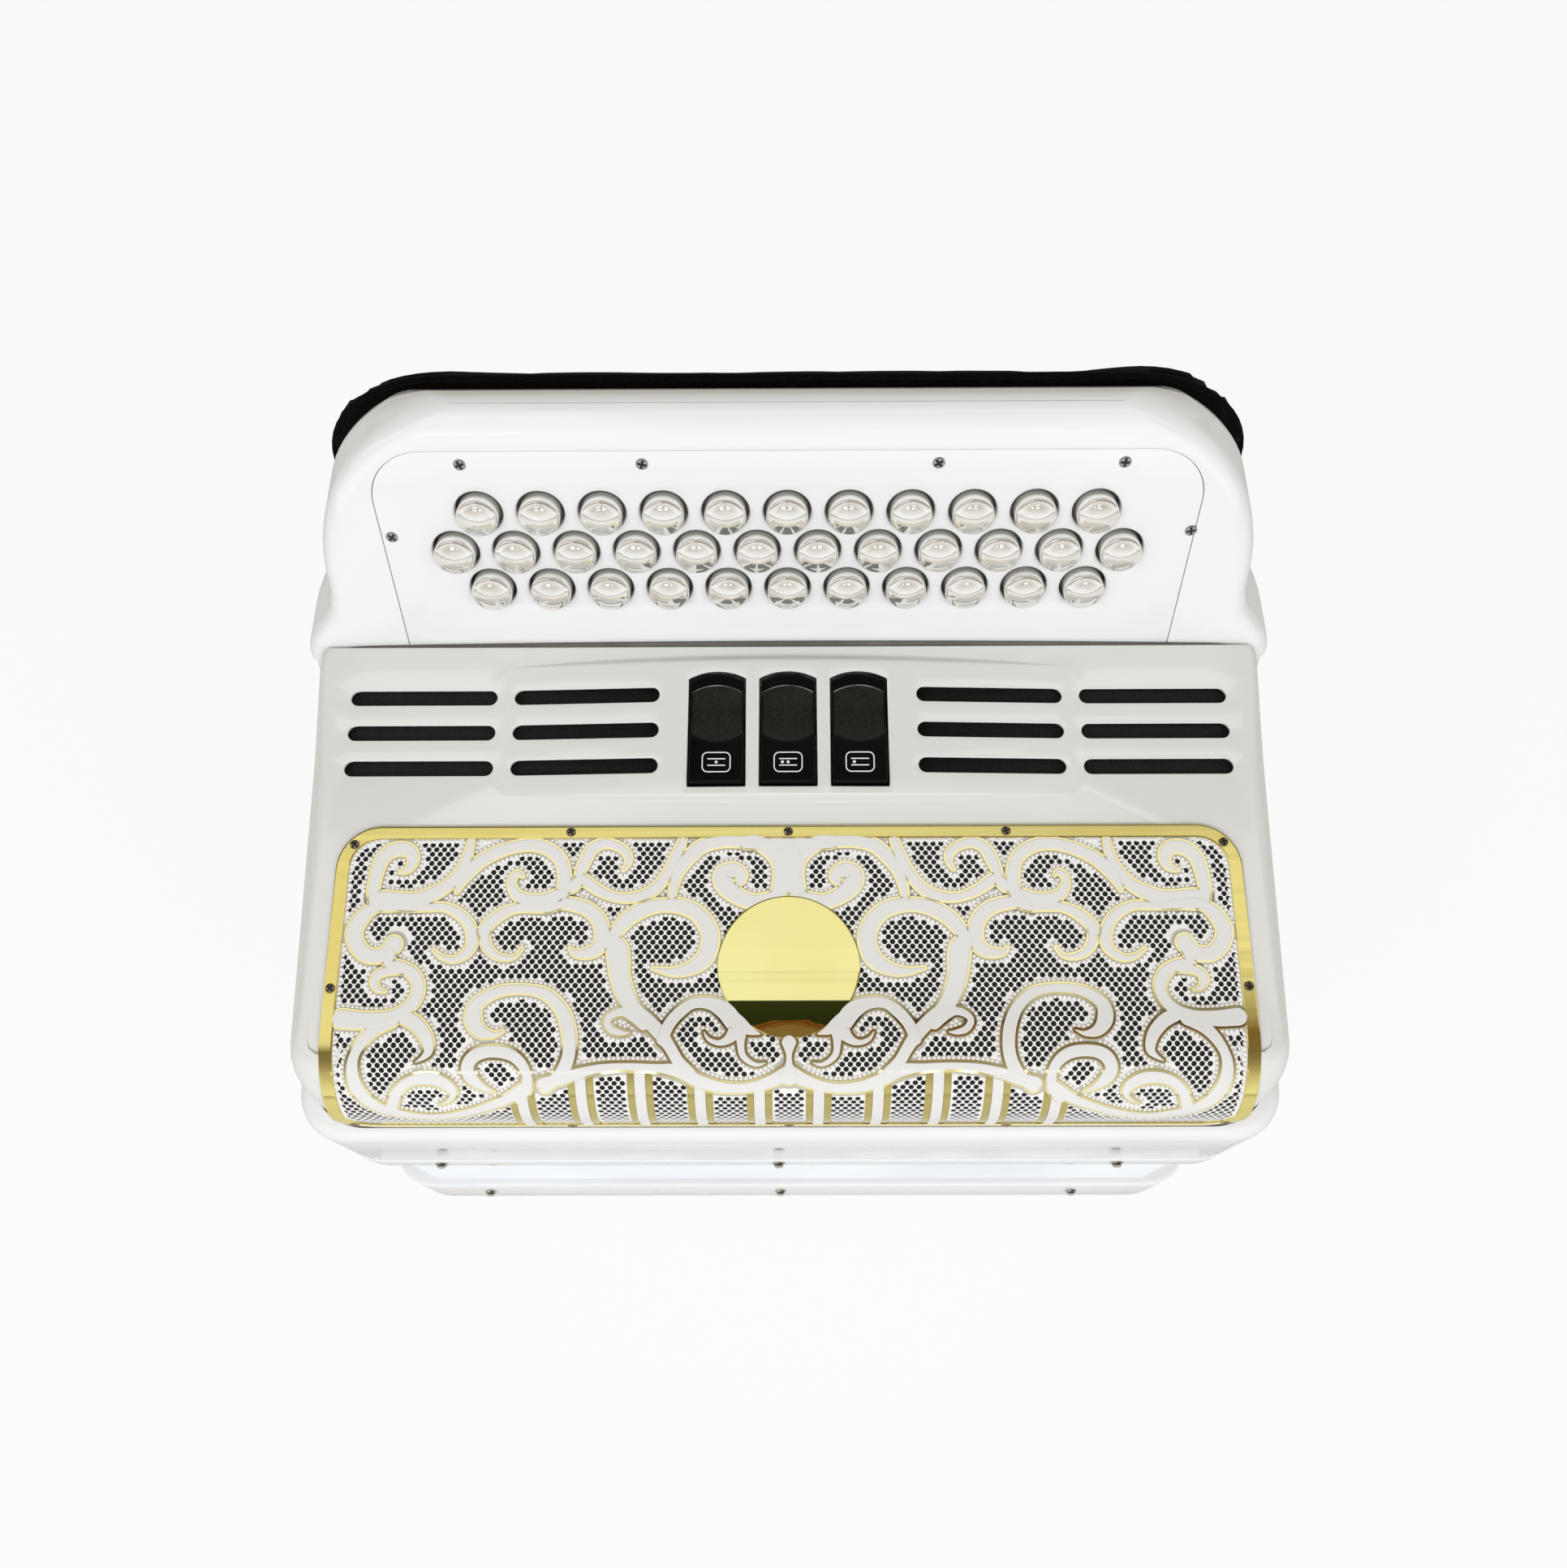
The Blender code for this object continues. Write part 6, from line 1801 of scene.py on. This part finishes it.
# How bright the room is from its rear horizon (0), past straight up (0.5), to its front horizon (1)
roomFront = [
    (0.66, (0.20, 0.16, 0.11)), (0.74, (0.27, 0.23, 0.18)), (0.81, (0.44, 0.40, 0.35)),
    (0.87, (0.63, 0.60, 0.56)), (0.94, (0.80, 0.79, 0.77)), (1.0, (0.90, 0.90, 0.89)),
]
pale = (0.97, 0.95, 0.92)
room = {
    "soft": [
        (0.0, (0.24, 0.19, 0.13)), (0.3, (0.46, 0.40, 0.32)), (0.46, (0.62, 0.58, 0.51)), (0.56, 0.76), (0.8, 0.84),
        (1.0, 0.76),
    ],
    "gloss": [
        (0.0, (0.22, 0.20, 0.16)), (0.30, (0.34, 0.31, 0.26)), (0.446, (0.10, 0.09, 0.07)),
        (0.453, (0.92, 0.90, 0.86)), (0.4970, pale), (0.5046, (0.22, 0.13, 0.06)), *roomFront,
    ],
    # the part straight above, spread out, since a ramp has only 256 steps
    "overhead": [
        (0.0, pale), (0.22, pale), (0.25, (0.87, 0.85, 0.80)), (0.27, pale), (0.33, (0.90, 0.88, 0.83)),
        (0.36, pale), (0.512, (0.96, 0.94, 0.91)), (0.518, (0.03, 0.035, 0.015)), (0.74, (0.02, 0.025, 0.01)),
        (0.765, (0.19, 0.075, 0.02)), (0.82, (0.12, 0.045, 0.012)), (0.90, (0.20, 0.085, 0.025)),
        (1.0, (0.16, 0.08, 0.035)),
    ],
    "overheadSpan": (0.485, 0.510),
    "glossLeft": [
        (0.0, (0.22, 0.20, 0.16)), (0.446, (0.10, 0.09, 0.07)), (0.453, (0.92, 0.90, 0.86)),
        (0.60, (0.85, 0.82, 0.78)), *roomFront,
    ],
    "window": [(0.811, 0.0), (0.815, 1.0), (0.825, 1.0), (0.829, 0.0)],
    "windowSides": [
        (0.20, 0.0), (0.21, 1.0), (0.40, 1.0), (0.41, 0.0), (0.55, 0.0), (0.56, 1.0), (0.72, 1.0), (0.73, 0.0),
    ],
    "windowStrength": 2.0, "leftEdge": (-0.16, -0.09), "strength": 0.85,
}


def roomLight(tree, height, stops, strength):
    light = tree.nodes.new("ShaderNodeBackground")
    light.inputs["Strength"].default_value = strength
    addRamp(tree, height, stops, light.inputs["Color"])
    return light.outputs[0]


def studioWorld():
    # white for the camera; for the rest a room that is bright in front, dim and warm behind, with a
    # dark patch overhead that the gold mirrors and that ends a little left of the middle
    world = bpy.data.worlds.new("studio")
    bpy.context.scene.world = world
    world.use_nodes = True
    tree = world.node_tree
    tree.nodes.clear()
    parts = tree.nodes.new("ShaderNodeSeparateXYZ")
    tree.links.new(tree.nodes.new("ShaderNodeTexCoord").outputs["Generated"], parts.inputs[0])
    forward = mathNode(tree, "MULTIPLY", parts.outputs["Y"], -1.0)
    angle = mathNode(tree, "ARCTAN2", forward, parts.outputs["Z"])
    height = rangeNode(tree, angle, -math.pi / 2, math.pi / 2)
    side = rangeNode(tree, parts.outputs["X"], *room["leftEdge"])
    soft = roomLight(tree, height, room["soft"], room["strength"])
    low, high = room["overheadSpan"]
    overhead = roomLight(tree, rangeNode(tree, height, low, high), room["overhead"], 1.0)
    within = mathNode(tree, "COMPARE", height, (low + high) / 2)
    within.node.inputs[2].default_value = (high - low) / 2
    gloss = mixShaders(tree, within, roomLight(tree, height, room["gloss"], 1.0), overhead)
    glossLeft = roomLight(tree, height, room["glossLeft"], 1.0)
    white = tree.nodes.new("ShaderNodeBackground")
    white.inputs["Color"].default_value = (1, 1, 1, 1)
    rays = tree.nodes.new("ShaderNodeLightPath")
    # two windows in front, low down, give the highlights along the edges and on the buttons
    windows = roomLight(tree, height, room["window"], 0.0)
    across = rangeNode(tree, parts.outputs["X"], -0.5, 0.5)
    glare = addRamp(tree, across, room["windowSides"], windows.node.inputs["Strength"]).outputs["Color"]
    tree.links.new(mathNode(tree, "MULTIPLY", glare, room["windowStrength"]), windows.node.inputs["Strength"])
    both = tree.nodes.new("ShaderNodeAddShader")
    tree.links.new(mixShaders(tree, side, glossLeft, gloss), both.inputs[0])
    tree.links.new(windows, both.inputs[1])
    mirrored = both.outputs[0]
    lit = mixShaders(tree, rays.outputs["Is Glossy Ray"], soft, mirrored)
    seen = mathNode(tree, "MAXIMUM", rays.outputs["Is Camera Ray"], rays.outputs["Is Transmission Ray"])
    output = tree.nodes.new("ShaderNodeOutputWorld")
    tree.links.new(mixShaders(tree, seen, lit, white.outputs[0]), output.inputs["Surface"])


# Stands above the front: 66 degrees down, with a slight turn and roll
view = {"place": (0.0005, -0.1795, 0.6602), "down": 66.0, "turn": 0.67, "roll": -0.80, "width": 36.0, "lens": 29.96}


def photoCamera():
    data = bpy.data.cameras.new("photoCamera")
    data.sensor_width, data.lens, data.clip_start = view["width"], view["lens"], 0.01
    item = addItem("photoCamera", data)
    turn, tilt, roll = (math.radians(angle) for angle in (view["turn"], 90 - view["down"], view["roll"]))
    look = Matrix.Rotation(turn, 4, "Z") @ Matrix.Rotation(tilt, 4, "X") @ Matrix.Rotation(roll, 4, "Z")
    item.matrix_world = Matrix.Translation(view["place"]) @ look
    bpy.context.scene.camera = item


print("room")
floorPiece()
middle = (0.0, -0.01, 0.2)
addLamp("keyLamp", (-0.9, -1.35, 1.65), middle, (1.2, 0.9), 15)
addLamp("fillLamp", (1.0, -1.35, 1.55), middle, (1.0, 1.0), 11)
studioWorld()
photoCamera()
bpy.context.scene.view_settings.view_transform = "Standard"

print("ready")
